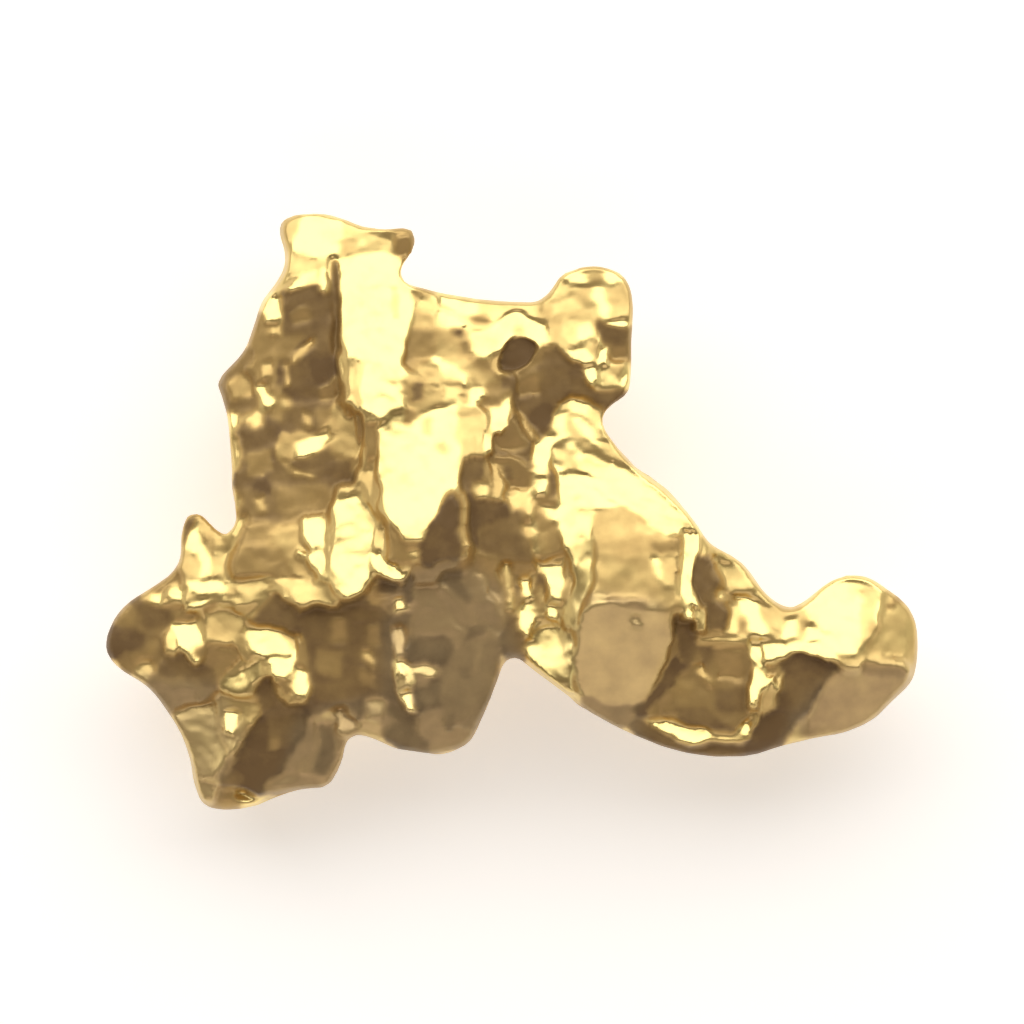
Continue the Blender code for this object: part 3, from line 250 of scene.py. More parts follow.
    "blob a": ([(-5.3, -2.35), (-4.9, -2.35), (-4.6, -2.5), (-4.35, -2.62), (-4.4, -2.9),
                (-5.15, -2.8)], 3.91, (0.0, -0.42), 0.0),
    "lobe cheek": ([(-6.75, -2.25), (-6.3, -2.2), (-6.2, -2.6), (-6.3, -3.05),
                    (-6.5, -2.9)], 3.61, (0.0, -0.42), 0.0),
    "arch floor": ([(-6.0, -2.65), (-5.5, -2.6), (-5.45, -3.25), (-5.8, -3.4)], 3.31,
                   (0.0, 0.04), 0.6),
    "foot brow": ([(-7.2, -3.2), (-6.0, -3.5), (-6.1, -3.85), (-6.8, -3.8)], 3.16,
                  (0.06, 0.02), 0.7),
    "foot face": ([(-6.6, -3.85), (-6.0, -3.75), (-5.82, -4.45), (-5.55, -4.6),
                   (-5.75, -5.0), (-6.0, -5.35), (-6.35, -5.6)], 2.9, (0.0, -0.4), 0.3),
    "foot floor": ([(-4.95, -4.15), (-4.15, -4.05), (-4.15, -4.5), (-4.5, -4.9),
                    (-5.0, -5.25), (-5.3, -5.5), (-5.7, -5.3), (-5.45, -4.9),
                    (-5.25, -4.5)], 2.66, (0.0, 0.03), 1),
    "foot back": ([(-4.0, -4.2), (-3.5, -4.2), (-3.5, -5.3), (-4.2, -5.3)], 2.81,
                  (0.0, 0.03), 0.5),
    "foot notch": ([(-3.6, -4.05), (-3.0, -3.95), (-2.7, -4.3), (-3.3, -4.35)], 3.11,
                   (0.0, 0.2), 0.3),
}

# How each kind of patch leans, as rise towards +X and +Y, and how much film and painted shade is on it.
LEANS = {
    "bright": (0.0, -0.42, 0.0),
    "glint": (0.0, -0.52, 0.0),
    "fair": (0.0, -0.32, 0.24),
    "straw": (0.0, -0.34, 0.36),
    "pale": (0.0, -0.36, 0.42),
    "ochre": (0.0, -0.13, 0.42),
    "khaki": (0.0, -0.02, 0.6),
    "dark": (0.0, 0.03, 0.9),
    "deep": (0.0, 0.04, 1.0),
    "tan": (0.0, 0.46, 0.3),
    "umber": (0.0, 0.3, 0.65),
}

# Patches laid over the facets at whatever height they come to: lean and corners.
PATCHES = {
    "head": [
        ("straw", [(-4.6, 5.75), (-4.45, 5.9), (-4.22, 5.93), (-4.2, 5.62), (-4.55, 5.45)]),
        ("bright", [(-4.2, 5.93), (-3.55, 5.85), (-3.4, 5.5), (-3.6, 5.2), (-4.1, 5.12),
                    (-4.35, 5.3), (-4.3, 5.5), (-4.2, 5.62)]),
        ("straw", [(-3.4, 5.45), (-3.12, 5.45), (-3.1, 5.18), (-3.45, 5.1)]),
        ("fair", [(-3.05, 5.6), (-2.35, 5.5), (-2.4, 5.3), (-2.9, 5.35)]),
        ("umber", [(-2.3, 5.5), (-2.0, 5.52), (-1.98, 5.3), (-2.18, 5.08), (-2.28, 5.2)]),
        ("fair", [(-4.55, 5.25), (-4.1, 5.1), (-3.9, 5.0), (-4.0, 4.85), (-4.55, 4.7)]),
        ("glint", [(-4.35, 4.62), (-3.95, 4.8), (-3.98, 4.62), (-4.35, 4.48)]),
        ("fair", [(-3.85, 5.08), (-3.62, 5.08), (-3.62, 4.85), (-3.85, 4.85)]),
        ("glint", [(-3.8, 4.85), (-3.64, 4.85), (-3.62, 4.45), (-3.74, 4.45)]),
        ("glint", [(-4.95, 4.15), (-4.68, 4.15), (-4.68, 3.88), (-4.95, 3.8)]),
    ],
    "tower": [
        ("khaki", [(-4.8, 2.45), (-4.6, 2.45), (-4.6, 1.95), (-4.8, 1.95)]),
        ("fair", [(-2.45, 4.5), (-2.3, 4.5), (-2.25, 3.9), (-2.4, 3.9)]),
        ("dark", [(-3.58, 5.0), (-3.45, 5.0), (-3.45, 4.0), (-3.4, 3.3), (-3.55, 3.2),
                  (-3.66, 3.6)]),
        ("umber", [(-4.45, 3.95), (-4.1, 4.1), (-4.0, 3.85), (-4.35, 3.75)]),
        ("pale", [(-4.85, 3.72), (-4.65, 3.7), (-4.65, 3.55), (-4.85, 3.5)]),
        ("khaki", [(-4.6, 3.5), (-4.1, 3.55), (-4.5, 3.05), (-4.65, 3.1)]),
        ("pale", [(-4.02, 3.5), (-3.92, 3.4), (-4.35, 2.95), (-4.48, 3.02)]),
        ("pale", [(-4.56, 3.0), (-4.46, 3.0), (-4.42, 2.55), (-4.52, 2.5)]),
        ("dark", [(-4.4, 2.9), (-4.05, 3.05), (-4.02, 2.6), (-4.38, 2.6)]),
        ("deep", [(-4.0, 3.05), (-3.68, 3.0), (-3.62, 2.75), (-3.76, 2.5), (-4.0, 2.52)]),
        ("umber", [(-3.9, 2.45), (-3.55, 2.6), (-3.45, 2.3), (-3.8, 2.2)]),
        ("pale", [(-5.02, 3.0), (-4.8, 3.0), (-4.78, 2.65), (-5.0, 2.6)]),
        ("ochre", [(-5.7, 2.55), (-5.4, 2.85), (-5.15, 2.6), (-5.2, 2.3), (-5.6, 2.15)]),
        ("khaki", [(-5.4, 2.9), (-5.1, 3.1), (-5.08, 2.65)]),
        ("glint", [(-5.1, 2.45), (-4.92, 2.47), (-4.85, 2.3), (-4.7, 2.2), (-4.85, 2.08),
                   (-5.0, 2.2)]),
        ("glint", [(-5.62, 1.9), (-5.45, 1.9), (-5.4, 1.75), (-5.58, 1.7)]),
        ("fair", [(-5.28, 1.9), (-5.0, 1.93), (-4.9, 1.8), (-5.12, 1.68)]),
        ("fair", [(-5.52, 1.55), (-5.4, 1.5), (-5.38, 1.05), (-5.52, 1.0)]),
        ("dark", [(-5.3, 1.6), (-4.75, 1.75), (-4.7, 1.4), (-5.25, 1.2)]),
        ("khaki", [(-5.3, 1.15), (-4.8, 1.25), (-4.75, 0.8), (-5.3, 0.7)]),
        ("deep", [(-5.1, 0.64), (-4.95, 0.64), (-4.83, 0.48), (-4.84, 0.34), (-4.97, 0.38)]),
        ("fair", [(-5.48, 0.32), (-5.3, 0.32), (-5.3, 0.15), (-5.48, 0.15)]),
        ("pale", [(-5.1, 0.28), (-4.93, 0.3), (-4.9, -0.05), (-5.03, -0.1)]),
        ("straw", [(-5.45, -0.12), (-5.25, -0.1), (-5.2, -0.4), (-5.4, -0.45)]),
        ("khaki", [(-4.7, 0.4), (-3.85, 0.35), (-3.9, 0.1), (-4.7, 0.0)]),
        ("pale", [(-4.55, 2.3), (-4.38, 2.32), (-4.4, 2.02), (-4.52, 2.05)]),
        ("khaki", [(-3.95, 2.05), (-3.6, 2.02), (-3.7, 1.72), (-3.9, 1.66)]),
        ("pale", [(-4.2, 2.0), (-4.02, 1.95), (-4.06, 1.66), (-4.15, 1.62)]),
        ("ochre", [(-4.7, 1.3), (-4.6, 1.46), (-4.5, 1.4), (-4.38, 1.24), (-4.22, 1.6),
                  (-4.05, 1.48), (-3.85, 1.6), (-3.6, 1.85), (-3.5, 2.1), (-3.38, 2.0),
                  (-3.45, 1.7), (-3.6, 1.42), (-3.85, 1.2), (-4.05, 1.08), (-4.35, 1.05),
                  (-4.65, 1.1)]),
        ("bright", [(-4.25, 1.3), (-4.05, 1.4), (-3.7, 1.6), (-3.62, 1.5), (-3.9, 1.22),
                   (-4.25, 1.12)]),
        ("dark", [(-4.38, 1.0), (-4.1, 1.04), (-3.8, 1.0), (-3.9, 0.84), (-4.2, 0.84)]),
        ("pale", [(-4.66, 1.08), (-4.5, 1.02), (-4.32, 0.86), (-4.0, 0.72), (-4.0, 0.62),
                  (-4.4, 0.75)]),
        ("ochre", [(-3.5, 1.85), (-3.2, 1.95), (-3.02, 1.5), (-3.1, 1.1), (-3.55, 1.2)]),
        ("umber", [(-3.15, 1.9), (-3.0, 1.85), (-2.95, 1.5), (-3.1, 1.4)]),
        ("dark", [(-3.7, 1.05), (-3.25, 1.05), (-3.2, 0.6), (-3.6, 0.5)]),
        ("fair", [(-3.35, 2.92), (-3.16, 2.9), (-3.16, 2.35), (-3.05, 2.0), (-3.15, 1.95),
                  (-3.3, 2.3)]),
        ("fair", [(-3.1, 3.0), (-2.95, 2.95), (-2.98, 2.55), (-3.1, 2.5)]),
        ("khaki", [(-2.95, 1.7), (-2.7, 1.75), (-2.68, 1.2), (-2.95, 1.0)]),
        ("ochre", [(-3.0, 0.95), (-2.7, 1.1), (-2.7, 0.3), (-2.9, 0.4)]),
    ],
    "crown and saddle": [
        ("straw", [(-3.08, 0.8), (-2.75, 0.9), (-2.62, 0.4), (-2.68, 0.0), (-2.95, 0.25),
                   (-3.15, 0.45)]),
        ("straw", [(-1.02, 1.12), (-0.7, 1.2), (-0.5, 1.5), (-0.45, 1.95), (-0.3, 1.9),
                   (-0.35, 1.5), (-0.6, 0.98), (-0.98, 0.85)]),
        ("khaki", [(-5.6, -1.0), (-4.5, -0.95), (-4.1, -1.15), (-4.3, -1.36), (-4.9, -1.32),
                   (-5.5, -1.3)]),
        ("khaki", [(-5.4, -0.3), (-4.9, -0.25), (-4.8, -0.55), (-5.4, -0.6)]),
        ("fair", [(-1.48, 1.35), (-1.3, 1.38), (-1.28, 1.2), (-1.45, 1.16)]),
        ("fair", [(-1.75, 1.85), (-1.62, 1.9), (-1.58, 1.5), (-1.72, 1.5)]),
        ("fair", [(-1.1, 1.9), (-0.55, 1.95), (-0.5, 1.5), (-0.85, 1.15), (-1.1, 1.35)]),
        ("straw", [(-1.0, 1.45), (-0.72, 1.5), (-0.7, 1.15), (-0.98, 1.08)]),
        ("straw", [(-3.5, 0.5), (-3.0, 0.6), (-2.85, 0.3), (-3.1, 0.42), (-3.3, 0.32)]),
        ("bright", [(-4.1, -0.12), (-3.85, -0.02), (-3.72, -0.2), (-3.8, -0.6),
                    (-4.0, -0.72), (-4.14, -0.55)]),
        ("bright", [(-4.3, -0.8), (-4.1, -0.85), (-3.85, -0.75), (-3.7, -0.9), (-3.75, -1.2),
                  (-4.05, -1.1)]),
        ("fair", [(-3.7, -0.2), (-3.6, -0.2), (-3.6, -0.9), (-3.7, -0.9)]),
        ("bright", [(-3.55, -0.1), (-3.55, 0.08), (-3.2, 0.36), (-3.02, 0.32), (-2.8, 0.06),
                    (-2.74, -0.15), (-2.8, -0.6), (-2.85, -1.1),
                    (-2.95, -1.5), (-3.2, -1.68), (-3.5, -1.52), (-3.82, -1.25),
                    (-3.6, -1.12), (-3.55, -0.7)]),
        ("glint", [(-2.76, -0.82), (-2.6, -0.84), (-2.4, -1.05), (-2.2, -1.2),
                   (-2.15, -1.33), (-2.4, -1.3), (-2.66, -1.15)]),
        ("fair", [(-2.76, -0.4), (-2.58, -0.3), (-2.5, -0.68), (-2.72, -0.78)]),
        ("khaki", [(-2.48, -0.3), (-2.2, -0.55), (-2.02, -0.82), (-2.2, -1.1),
                  (-2.45, -0.9)]),
        ("khaki", [(-2.15, -0.55), (-1.95, -0.55), (-1.9, -0.7), (-2.05, -0.75)]),
        ("straw", [(-2.05, -0.72), (-1.9, -0.72), (-1.9, -0.92), (-2.04, -0.9)]),
        ("deep", [(-1.22, 0.28), (-1.06, 0.1), (-1.08, -0.3), (-1.1, -0.75), (-1.3, -0.85),
                  (-1.42, -0.6), (-1.35, -0.1)]),
        ("deep", [(-1.6, -0.55), (-1.45, -0.6), (-1.4, -0.9), (-1.6, -1.1), (-1.85, -0.9),
                  (-1.75, -0.6)]),
        ("pale", [(-1.04, 0.3), (-0.94, 0.1), (-0.86, -0.3), (-0.82, -0.75), (-0.95, -0.8),
                  (-1.0, -0.4), (-1.04, 0.0)]),
        ("umber", [(-1.9, -1.1), (-1.65, -1.15), (-1.5, -1.0), (-1.3, -1.05), (-1.6, -1.4),
                   (-1.9, -1.35)]),
        ("deep", [(-0.88, 0.25), (-0.75, 0.1), (-0.68, -0.3), (-0.65, -0.65),
                  (-0.78, -0.6), (-0.82, -0.1)]),
        ("dark", [(-0.95, 1.0), (-0.55, 1.1), (-0.55, 0.7), (-0.85, 0.6)]),
        ("fair", [(-0.7, 0.52), (-0.5, 0.55), (-0.48, 0.32), (-0.66, 0.3)]),
        ("ochre", [(-4.2, -0.3), (-4.55, -0.35), (-4.6, -0.6), (-4.2, -0.7)]),
        ("khaki", [(-5.3, -0.62), (-4.6, -0.7), (-4.55, -0.95), (-5.0, -1.15),
                   (-5.5, -1.1)]),
        ("ochre", [(-4.5, -0.8), (-4.2, -0.9), (-3.9, -1.25), (-4.1, -1.4), (-4.5, -1.2)]),
        ("fair", [(-5.6, -0.3), (-5.4, -0.15), (-5.3, -0.35), (-5.55, -0.55),
                  (-5.7, -0.5)]),

    ],
    "bridge and knob": [
        ("straw", [(0.65, 4.3), (1.0, 4.72), (1.6, 4.87), (2.2, 4.68), (2.35, 4.2),
                   (2.3, 3.7), (1.75, 3.7), (1.62, 3.1), (1.78, 2.55), (1.5, 2.6),
                   (1.25, 2.98), (0.9, 3.4), (0.65, 3.7)]),
        ("ochre", [(-1.98, 4.4), (-1.7, 4.42), (-1.65, 4.3), (-1.95, 4.28)]),
        ("fair", [(-1.9, 4.2), (-1.5, 4.1), (-1.5, 3.95), (-1.85, 4.05)]),
        ("bright", [(-1.5, 4.3), (-1.05, 4.25), (-1.0, 4.15), (-0.65, 4.2), (-0.6, 4.02),
                    (-0.85, 4.0), (-1.15, 4.05), (-1.45, 4.1)]),
        ("bright", [(-1.5, 3.95), (-1.2, 3.88), (-0.95, 3.75), (-1.1, 3.68),
                    (-1.45, 3.78)]),
        ("fair", [(-0.6, 4.2), (0.5, 4.16), (0.5, 4.0), (0.0, 4.02), (-0.5, 4.05)]),
        ("khaki", [(-0.85, 3.92), (-0.5, 4.0), (-0.3, 3.8), (-0.75, 3.75)]),
        ("ochre", [(-1.85, 4.0), (-1.55, 3.92), (-1.5, 3.72), (-1.85, 3.7)]),
        ("ochre", [(-1.45, 3.42), (-1.25, 3.4), (-1.25, 3.1), (-1.4, 3.0)]),
        ("dark", [(-1.2, 3.6), (-1.02, 3.58), (-1.02, 3.45), (-1.18, 3.45)]),
        ("khaki", [(-1.05, 3.42), (-0.85, 3.45), (-0.82, 3.15), (-1.05, 3.15)]),
        ("straw", [(-1.2, 3.15), (-0.95, 3.1), (-0.92, 2.9), (-1.2, 2.9)]),
        ("glint", [(-0.82, 3.5), (-0.75, 3.56), (-0.48, 3.56), (-0.25, 3.74), (0.0, 3.95),
                   (0.22, 4.0), (0.3, 3.86), (0.05, 3.68), (-0.1, 3.45), (-0.3, 3.25),
                   (-0.6, 3.17), (-0.8, 3.25)]),
        ("glint", [(0.28, 3.8), (0.45, 3.87), (0.62, 3.8), (0.68, 3.5), (0.58, 3.32),
                   (0.4, 3.42), (0.26, 3.5)]),
        ("fair", [(-0.05, 3.6), (0.15, 3.72), (0.25, 3.5), (0.1, 3.48)]),
        ("deep", [(-0.1, 3.3), (0.15, 3.45), (0.45, 3.36), (0.52, 3.22), (0.35, 3.02),
                  (0.05, 2.9), (-0.25, 2.86), (-0.28, 3.02), (-0.1, 3.12)]),
        ("pale", [(-0.45, 3.1), (-0.3, 3.1), (-0.28, 2.85), (-0.15, 2.8), (-0.25, 2.65),
                   (-0.4, 2.85)]),
        ("umber", [(0.4, 2.98), (0.65, 3.3), (0.8, 3.2), (0.62, 2.98), (0.2, 2.75),
                   (0.05, 2.8)]),
        ("bright", [(-1.55, 2.98), (-1.2, 2.9), (-0.95, 2.68), (-0.95, 2.58),
                    (-1.3, 2.75)]),
        ("ochre", [(-1.8, 2.9), (-1.6, 2.9), (-1.35, 2.7), (-1.7, 2.62)]),
        ("dark", [(-1.95, 2.6), (-1.75, 2.55), (-1.78, 2.25), (-1.98, 2.2)]),
        ("ochre", [(-1.7, 2.5), (-1.4, 2.45), (-1.4, 2.15), (-1.7, 2.1)]),
        ("khaki", [(-2.1, 2.1), (-1.9, 2.05), (-1.98, 1.72), (-2.12, 1.75)]),
        ("fair", [(-1.35, 2.55), (-1.0, 2.5), (-1.05, 2.25), (-1.35, 2.25)]),
        ("bright", [(-0.85, 2.5), (-0.65, 2.48), (-0.62, 2.28), (-0.82, 2.22)]),
        ("ochre", [(-0.8, 2.95), (-0.5, 2.85), (-0.25, 2.55), (-0.6, 2.6)]),
        ("khaki", [(-0.85, 3.1), (-0.5, 3.05), (-0.5, 2.92), (-0.8, 2.95)]),
        ("khaki", [(-0.65, 2.28), (-0.3, 2.3), (-0.2, 2.1), (-0.6, 2.12)]),
        ("dark", [(-0.2, 2.75), (0.1, 2.7), (0.05, 2.45), (-0.25, 2.48)]),
        ("fair", [(0.75, 4.25), (1.0, 4.7), (1.5, 4.85), (1.55, 4.6), (1.0, 4.2)]),
        ("bright", [(1.1, 4.78), (1.4, 4.8), (1.5, 4.6), (1.2, 4.55), (1.08, 4.65)]),
        ("ochre", [(1.55, 4.8), (1.8, 4.8), (1.8, 4.58), (1.55, 4.58)]),
        ("bright", [(1.88, 4.75), (2.1, 4.8), (2.2, 4.6), (2.0, 4.5), (1.88, 4.6)]),
        ("bright", [(1.62, 4.5), (1.85, 4.48), (1.85, 4.3), (2.0, 4.1), (1.95, 3.85),
                    (1.8, 3.88), (1.75, 4.15), (1.6, 4.2)]),
        ("ochre", [(1.3, 4.35), (1.5, 4.3), (1.62, 4.08), (1.55, 3.98), (1.4, 4.15)]),
        ("fair", [(0.8, 4.2), (1.25, 4.25), (1.45, 4.05), (0.8, 3.9)]),
        ("straw", [(2.0, 4.25), (2.2, 4.25), (2.2, 3.85), (2.02, 3.8)]),
        ("fair", [(1.0, 3.85), (1.6, 3.9), (1.68, 3.45), (1.3, 3.3), (0.95, 3.5)]),
        ("bright", [(1.3, 3.7), (1.6, 3.75), (1.62, 3.5), (1.35, 3.45)]),
        ("glint", [(2.05, 3.8), (2.3, 3.85), (2.32, 3.68), (2.0, 3.68)]),
        ("dark", [(1.72, 3.82), (1.9, 3.7), (2.35, 3.6), (2.35, 3.35), (2.0, 3.3),
                  (1.85, 3.35), (1.72, 3.6)]),
        ("umber", [(1.95, 3.28), (2.35, 3.3), (2.35, 3.05), (2.0, 3.0)]),
        ("ochre", [(1.58, 3.35), (1.72, 3.38), (1.72, 3.1), (1.58, 3.1)]),
        ("glint", [(1.7, 3.2), (1.85, 3.22), (1.86, 2.9), (1.72, 2.88)]),
        ("glint", [(1.48, 2.85), (1.6, 2.85), (1.72, 2.65), (1.6, 2.55), (1.5, 2.68)]),
        ("bright", [(1.15, 3.25), (1.4, 3.25), (1.55, 2.98), (1.4, 2.88), (1.25, 3.05)]),
        ("dark", [(1.2, 2.95), (1.35, 2.95), (1.45, 2.65), (1.6, 2.5), (1.3, 2.42)]),
        ("ochre", [(1.95, 2.9), (2.25, 2.9), (2.15, 2.65), (1.9, 2.7)]),
        ("bright", [(2.15, 2.68), (2.3, 2.8), (2.3, 2.55), (2.18, 2.52)]),
        ("dark", [(1.7, 2.38), (1.98, 2.45), (2.2, 2.48), (2.3, 2.38), (2.1, 2.22),
                  (1.9, 2.1)]),
    ],
    "crevice and rift": [
        ("khaki", [(0.1, 0.1), (0.55, 0.25), (0.9, 0.3), (0.9, 0.0), (0.6, -0.05),
                   (0.3, -0.25)]),
        ("dark", [(0.25, 1.35), (0.45, 1.42), (0.42, 0.9), (0.3, 0.95)]),
        ("straw", [(0.45, -0.95), (1.15, -0.9), (1.25, -1.3), (1.08, -1.8), (1.0, -2.2),
                   (0.4, -2.3), (0.25, -1.6)]),
        ("fair", [(0.2, -1.85), (0.5, -1.8), (0.95, -1.85), (1.0, -2.25), (0.55, -2.3),
                  (0.2, -2.55)]),
        ("dark", [(0.12, 2.4), (0.6, 2.5), (1.18, 2.45), (0.92, 2.12), (0.6, 1.9),
                  (0.15, 2.05)]),
        ("dark", [(0.7, 3.15), (0.95, 3.2), (1.1, 2.9), (1.2, 2.5), (0.9, 2.2), (0.6, 2.3),
                  (0.6, 2.9)]),
        ("deep", [(0.55, 2.2), (0.85, 2.1), (0.55, 1.55), (0.35, 1.85)]),
        ("umber", [(0.15, 2.65), (0.55, 2.8), (0.55, 2.3), (0.15, 2.3)]),
        ("pale", [(0.13, 1.98), (0.24, 1.95), (0.38, 1.65), (0.48, 1.5), (0.38, 1.48),
                  (0.2, 1.68)]),
        ("umber", [(-0.35, 1.6), (0.0, 1.9), (0.2, 1.5), (0.35, 1.35), (0.0, 1.2),
                   (-0.4, 1.3)]),
        ("glint", [(-0.42, 1.85), (-0.05, 2.2), (0.0, 2.05), (-0.15, 1.75), (-0.25, 1.62),
                   (-0.4, 1.66)]),
        ("bright", [(-0.55, 1.55), (-0.42, 1.5), (-0.4, 1.2), (-0.52, 1.2)]),
        ("umber", [(-0.5, 1.1), (0.0, 1.15), (0.35, 0.9), (0.3, 0.5), (-0.1, 0.5),
                   (-0.15, 0.9)]),
        ("pale", [(-0.42, 1.0), (-0.28, 1.0), (-0.15, 0.5), (-0.2, 0.2), (-0.38, 0.3),
                  (-0.4, 0.7)]),
        ("dark", [(-0.15, 0.95), (0.0, 0.95), (0.0, 0.65), (-0.15, 0.65)]),
        ("fair", [(-0.08, 0.35), (0.1, 0.5), (0.33, 0.4), (0.36, 0.2), (0.5, 0.1),
                   (0.5, -0.1), (0.36, -0.12), (0.25, 0.1), (0.0, 0.08)]),
        ("deep", [(-0.65, 0.2), (-0.1, 0.2), (-0.05, -0.1), (-0.6, -0.3)]),
        ("dark", [(-0.6, -0.4), (-0.1, -0.2), (0.1, -0.4), (0.2, -0.9), (-0.3, -0.8),
                  (-0.6, -0.7)]),
        ("umber", [(-0.7, -0.8), (-0.35, -0.85), (-0.2, -1.1), (-0.6, -1.3)]),
        ("pale", [(0.15, -0.25), (0.3, -0.2), (0.48, -0.45), (0.4, -0.58), (0.2, -0.45)]),
        ("khaki", [(0.5, -0.1), (0.7, 0.0), (1.0, -0.5), (1.0, -0.9), (0.55, -0.95)]),
        ("ochre", [(0.55, -0.4), (0.7, -0.35), (0.8, -0.85), (0.6, -0.85)]),
        ("glint", [(0.45, 1.35), (0.7, 1.5), (0.75, 1.2), (0.62, 0.95), (0.6, 0.78),
                   (0.5, 0.8), (0.44, 1.0)]),
        ("dark", [(0.7, 0.85), (0.88, 0.8), (0.86, 0.35), (0.72, 0.3)]),
        ("bright", [(0.48, 0.68), (0.68, 0.7), (0.66, 0.38), (0.5, 0.35)]),
        ("glint", [(0.65, 0.05), (0.8, 0.1), (0.92, -0.05), (0.9, -0.2), (0.75, -0.1)]),
        ("fair", [(-0.18, -1.0), (-0.05, -1.0), (0.0, -1.5), (0.08, -1.95), (-0.02, -2.0),
                  (-0.12, -1.5)]),
        ("umber", [(-0.45, -1.15), (-0.28, -1.2), (-0.25, -1.55), (-0.42, -1.6)]),
        ("umber", [(0.0, -1.0), (0.45, -1.02), (0.5, -1.2), (0.05, -1.2)]),
        ("dark", [(0.05, -1.25), (0.2, -1.25), (0.2, -1.7), (0.08, -1.7)]),
        ("glint", [(0.2, -1.35), (0.33, -1.35), (0.45, -1.9), (0.35, -2.0), (0.28, -1.7)]),
        ("dark", [(0.52, -1.2), (0.68, -1.25), (0.7, -1.6), (0.62, -2.1), (0.5, -2.0),
                  (0.45, -1.5)]),
        ("fair", [(0.52, -1.45), (0.64, -1.42), (0.66, -1.6), (0.54, -1.62)]),
        ("glint", [(0.6, -1.05), (1.02, -1.05), (1.06, -1.5), (0.98, -1.78),
                   (0.84, -1.7), (0.7, -1.3)]),
        ("ochre", [(1.1, -1.0), (1.28, -1.3), (1.12, -1.75), (1.0, -1.85), (1.08, -1.5)]),
        ("glint", [(0.68, -1.85), (0.92, -1.85), (0.88, -2.12), (0.7, -2.12)]),
        ("glint", [(0.15, -2.35), (0.25, -1.85), (0.4, -1.75), (0.46, -2.1), (0.3, -2.5)]),
        ("ochre", [(0.48, -1.5), (0.7, -1.6), (0.68, -2.2), (0.5, -2.2)]),
        ("dark", [(-0.1, -2.0), (0.1, -2.05), (0.2, -2.8), (0.02, -2.75), (-0.05, -2.4)]),
    ],
    "arm": [
        ("fair", [(1.6, 1.6), (1.85, 1.5), (2.35, 1.0), (2.1, 0.95), (1.75, 1.22)]),
        ("fair", [(0.95, 2.2), (1.2, 2.3), (1.15, 1.6), (0.95, 1.3), (0.85, 1.6)]),
        ("bright", [(0.95, 1.95), (1.08, 2.0), (1.05, 1.45), (0.88, 1.4)]),
        ("bright", [(1.2, 2.25), (1.42, 2.2), (1.42, 1.95), (1.22, 2.0)]),
        ("straw", [(1.1, 1.95), (1.2, 1.95), (1.3, 1.6), (1.7, 1.25), (1.6, 1.2),
                   (1.2, 1.45), (1.1, 1.6)]),
        ("bright", [(1.25, 1.9), (1.4, 1.85), (1.7, 1.45), (1.75, 1.3), (1.45, 1.5),
                    (1.25, 1.7)]),
        ("fair", [(1.5, 2.1), (1.75, 2.1), (1.75, 1.7), (1.9, 1.4), (1.75, 1.5),
                  (1.5, 1.8)]),
        ("fair", [(0.75, 1.25), (1.0, 1.3), (1.2, 1.0), (1.2, 0.7), (0.9, 0.8)]),
        ("bright", [(0.8, 0.95), (0.95, 0.95), (1.02, 0.72), (0.9, 0.7)]),
        ("fair", [(1.1, 0.65), (1.45, 0.6), (1.4, 0.15), (1.2, 0.2)]),
        ("bright", [(1.3, 1.3), (1.7, 1.15), (2.1, 0.92), (2.6, 0.6), (3.1, 0.15),
                    (3.5, -0.2), (3.7, -0.35), (3.65, -0.5), (3.35, -0.42), (3.0, -0.3),
                    (2.5, 0.05), (2.0, 0.25), (1.7, 0.5), (1.35, 0.75)]),
        ("pale", [(1.62, -0.05), (2.3, 0.15), (2.7, -0.1), (2.65, -0.5), (1.55, -0.6)]),
        ("fair", [(2.5, -0.1), (2.9, -0.35), (2.8, -0.5), (2.45, -0.4)]),
        ("khaki", [(2.72, -0.62), (3.0, -0.6), (3.12, -0.5), (3.35, -0.48), (3.38, -0.8),
                  (3.12, -0.75), (2.95, -0.85), (2.75, -0.8)]),
        ("bright", [(2.78, -0.95), (2.9, -0.95), (3.0, -1.3), (2.92, -1.42),
                    (2.82, -1.2)]),
        ("straw", [(3.0, -0.9), (3.25, -0.95), (3.25, -1.5), (3.0, -1.45)]),
        ("glint", [(3.38, -0.4), (3.76, -0.38), (3.74, -0.75), (3.6, -1.0), (3.56, -1.4),
                    (3.7, -1.8), (3.72, -2.1), (3.42, -2.05), (3.42, -1.8), (3.32, -1.4),
                    (3.38, -0.9)]),
        ("umber", [(1.85, -1.62), (2.2, -1.62), (2.6, -1.8), (2.62, -1.92), (2.2, -1.82),
                  (1.9, -1.78)]),
        ("ochre", [(2.65, -1.6), (3.3, -1.65), (3.35, -1.9), (2.7, -1.85)]),
        ("tan", [(1.55, -1.85), (2.2, -1.9), (2.25, -2.4), (2.0, -2.75), (1.45, -2.6)]),
        ("pale", [(2.35, -2.05), (2.5, -2.05), (2.48, -2.3), (2.36, -2.28)]),
        ("tan", [(2.55, -2.0), (3.1, -2.05), (3.2, -2.6), (2.9, -3.1), (2.5, -3.0)]),
        ("tan", [(1.35, -2.75), (2.35, -2.8), (2.45, -3.1), (2.7, -3.3), (2.4, -3.8),
                 (1.8, -3.7), (1.25, -3.3)]),
        ("umber", [(1.6, -3.85), (2.3, -3.9), (2.35, -4.05), (2.0, -4.1)]),
        ("bright", [(0.9, 0.72), (1.2, 0.78), (1.55, 0.7), (1.75, 0.3), (1.62, 0.0),
                    (1.52, -0.3), (1.52, -0.6), (1.6, -1.1), (1.56, -1.4), (1.38, -1.8),
                    (1.28, -2.1), (1.22, -2.3), (1.05, -2.3), (1.1, -1.85), (1.25, -1.6),
                    (1.34, -1.3), (1.26, -1.0), (1.02, -0.6), (0.9, -0.25), (0.98, 0.2)]),
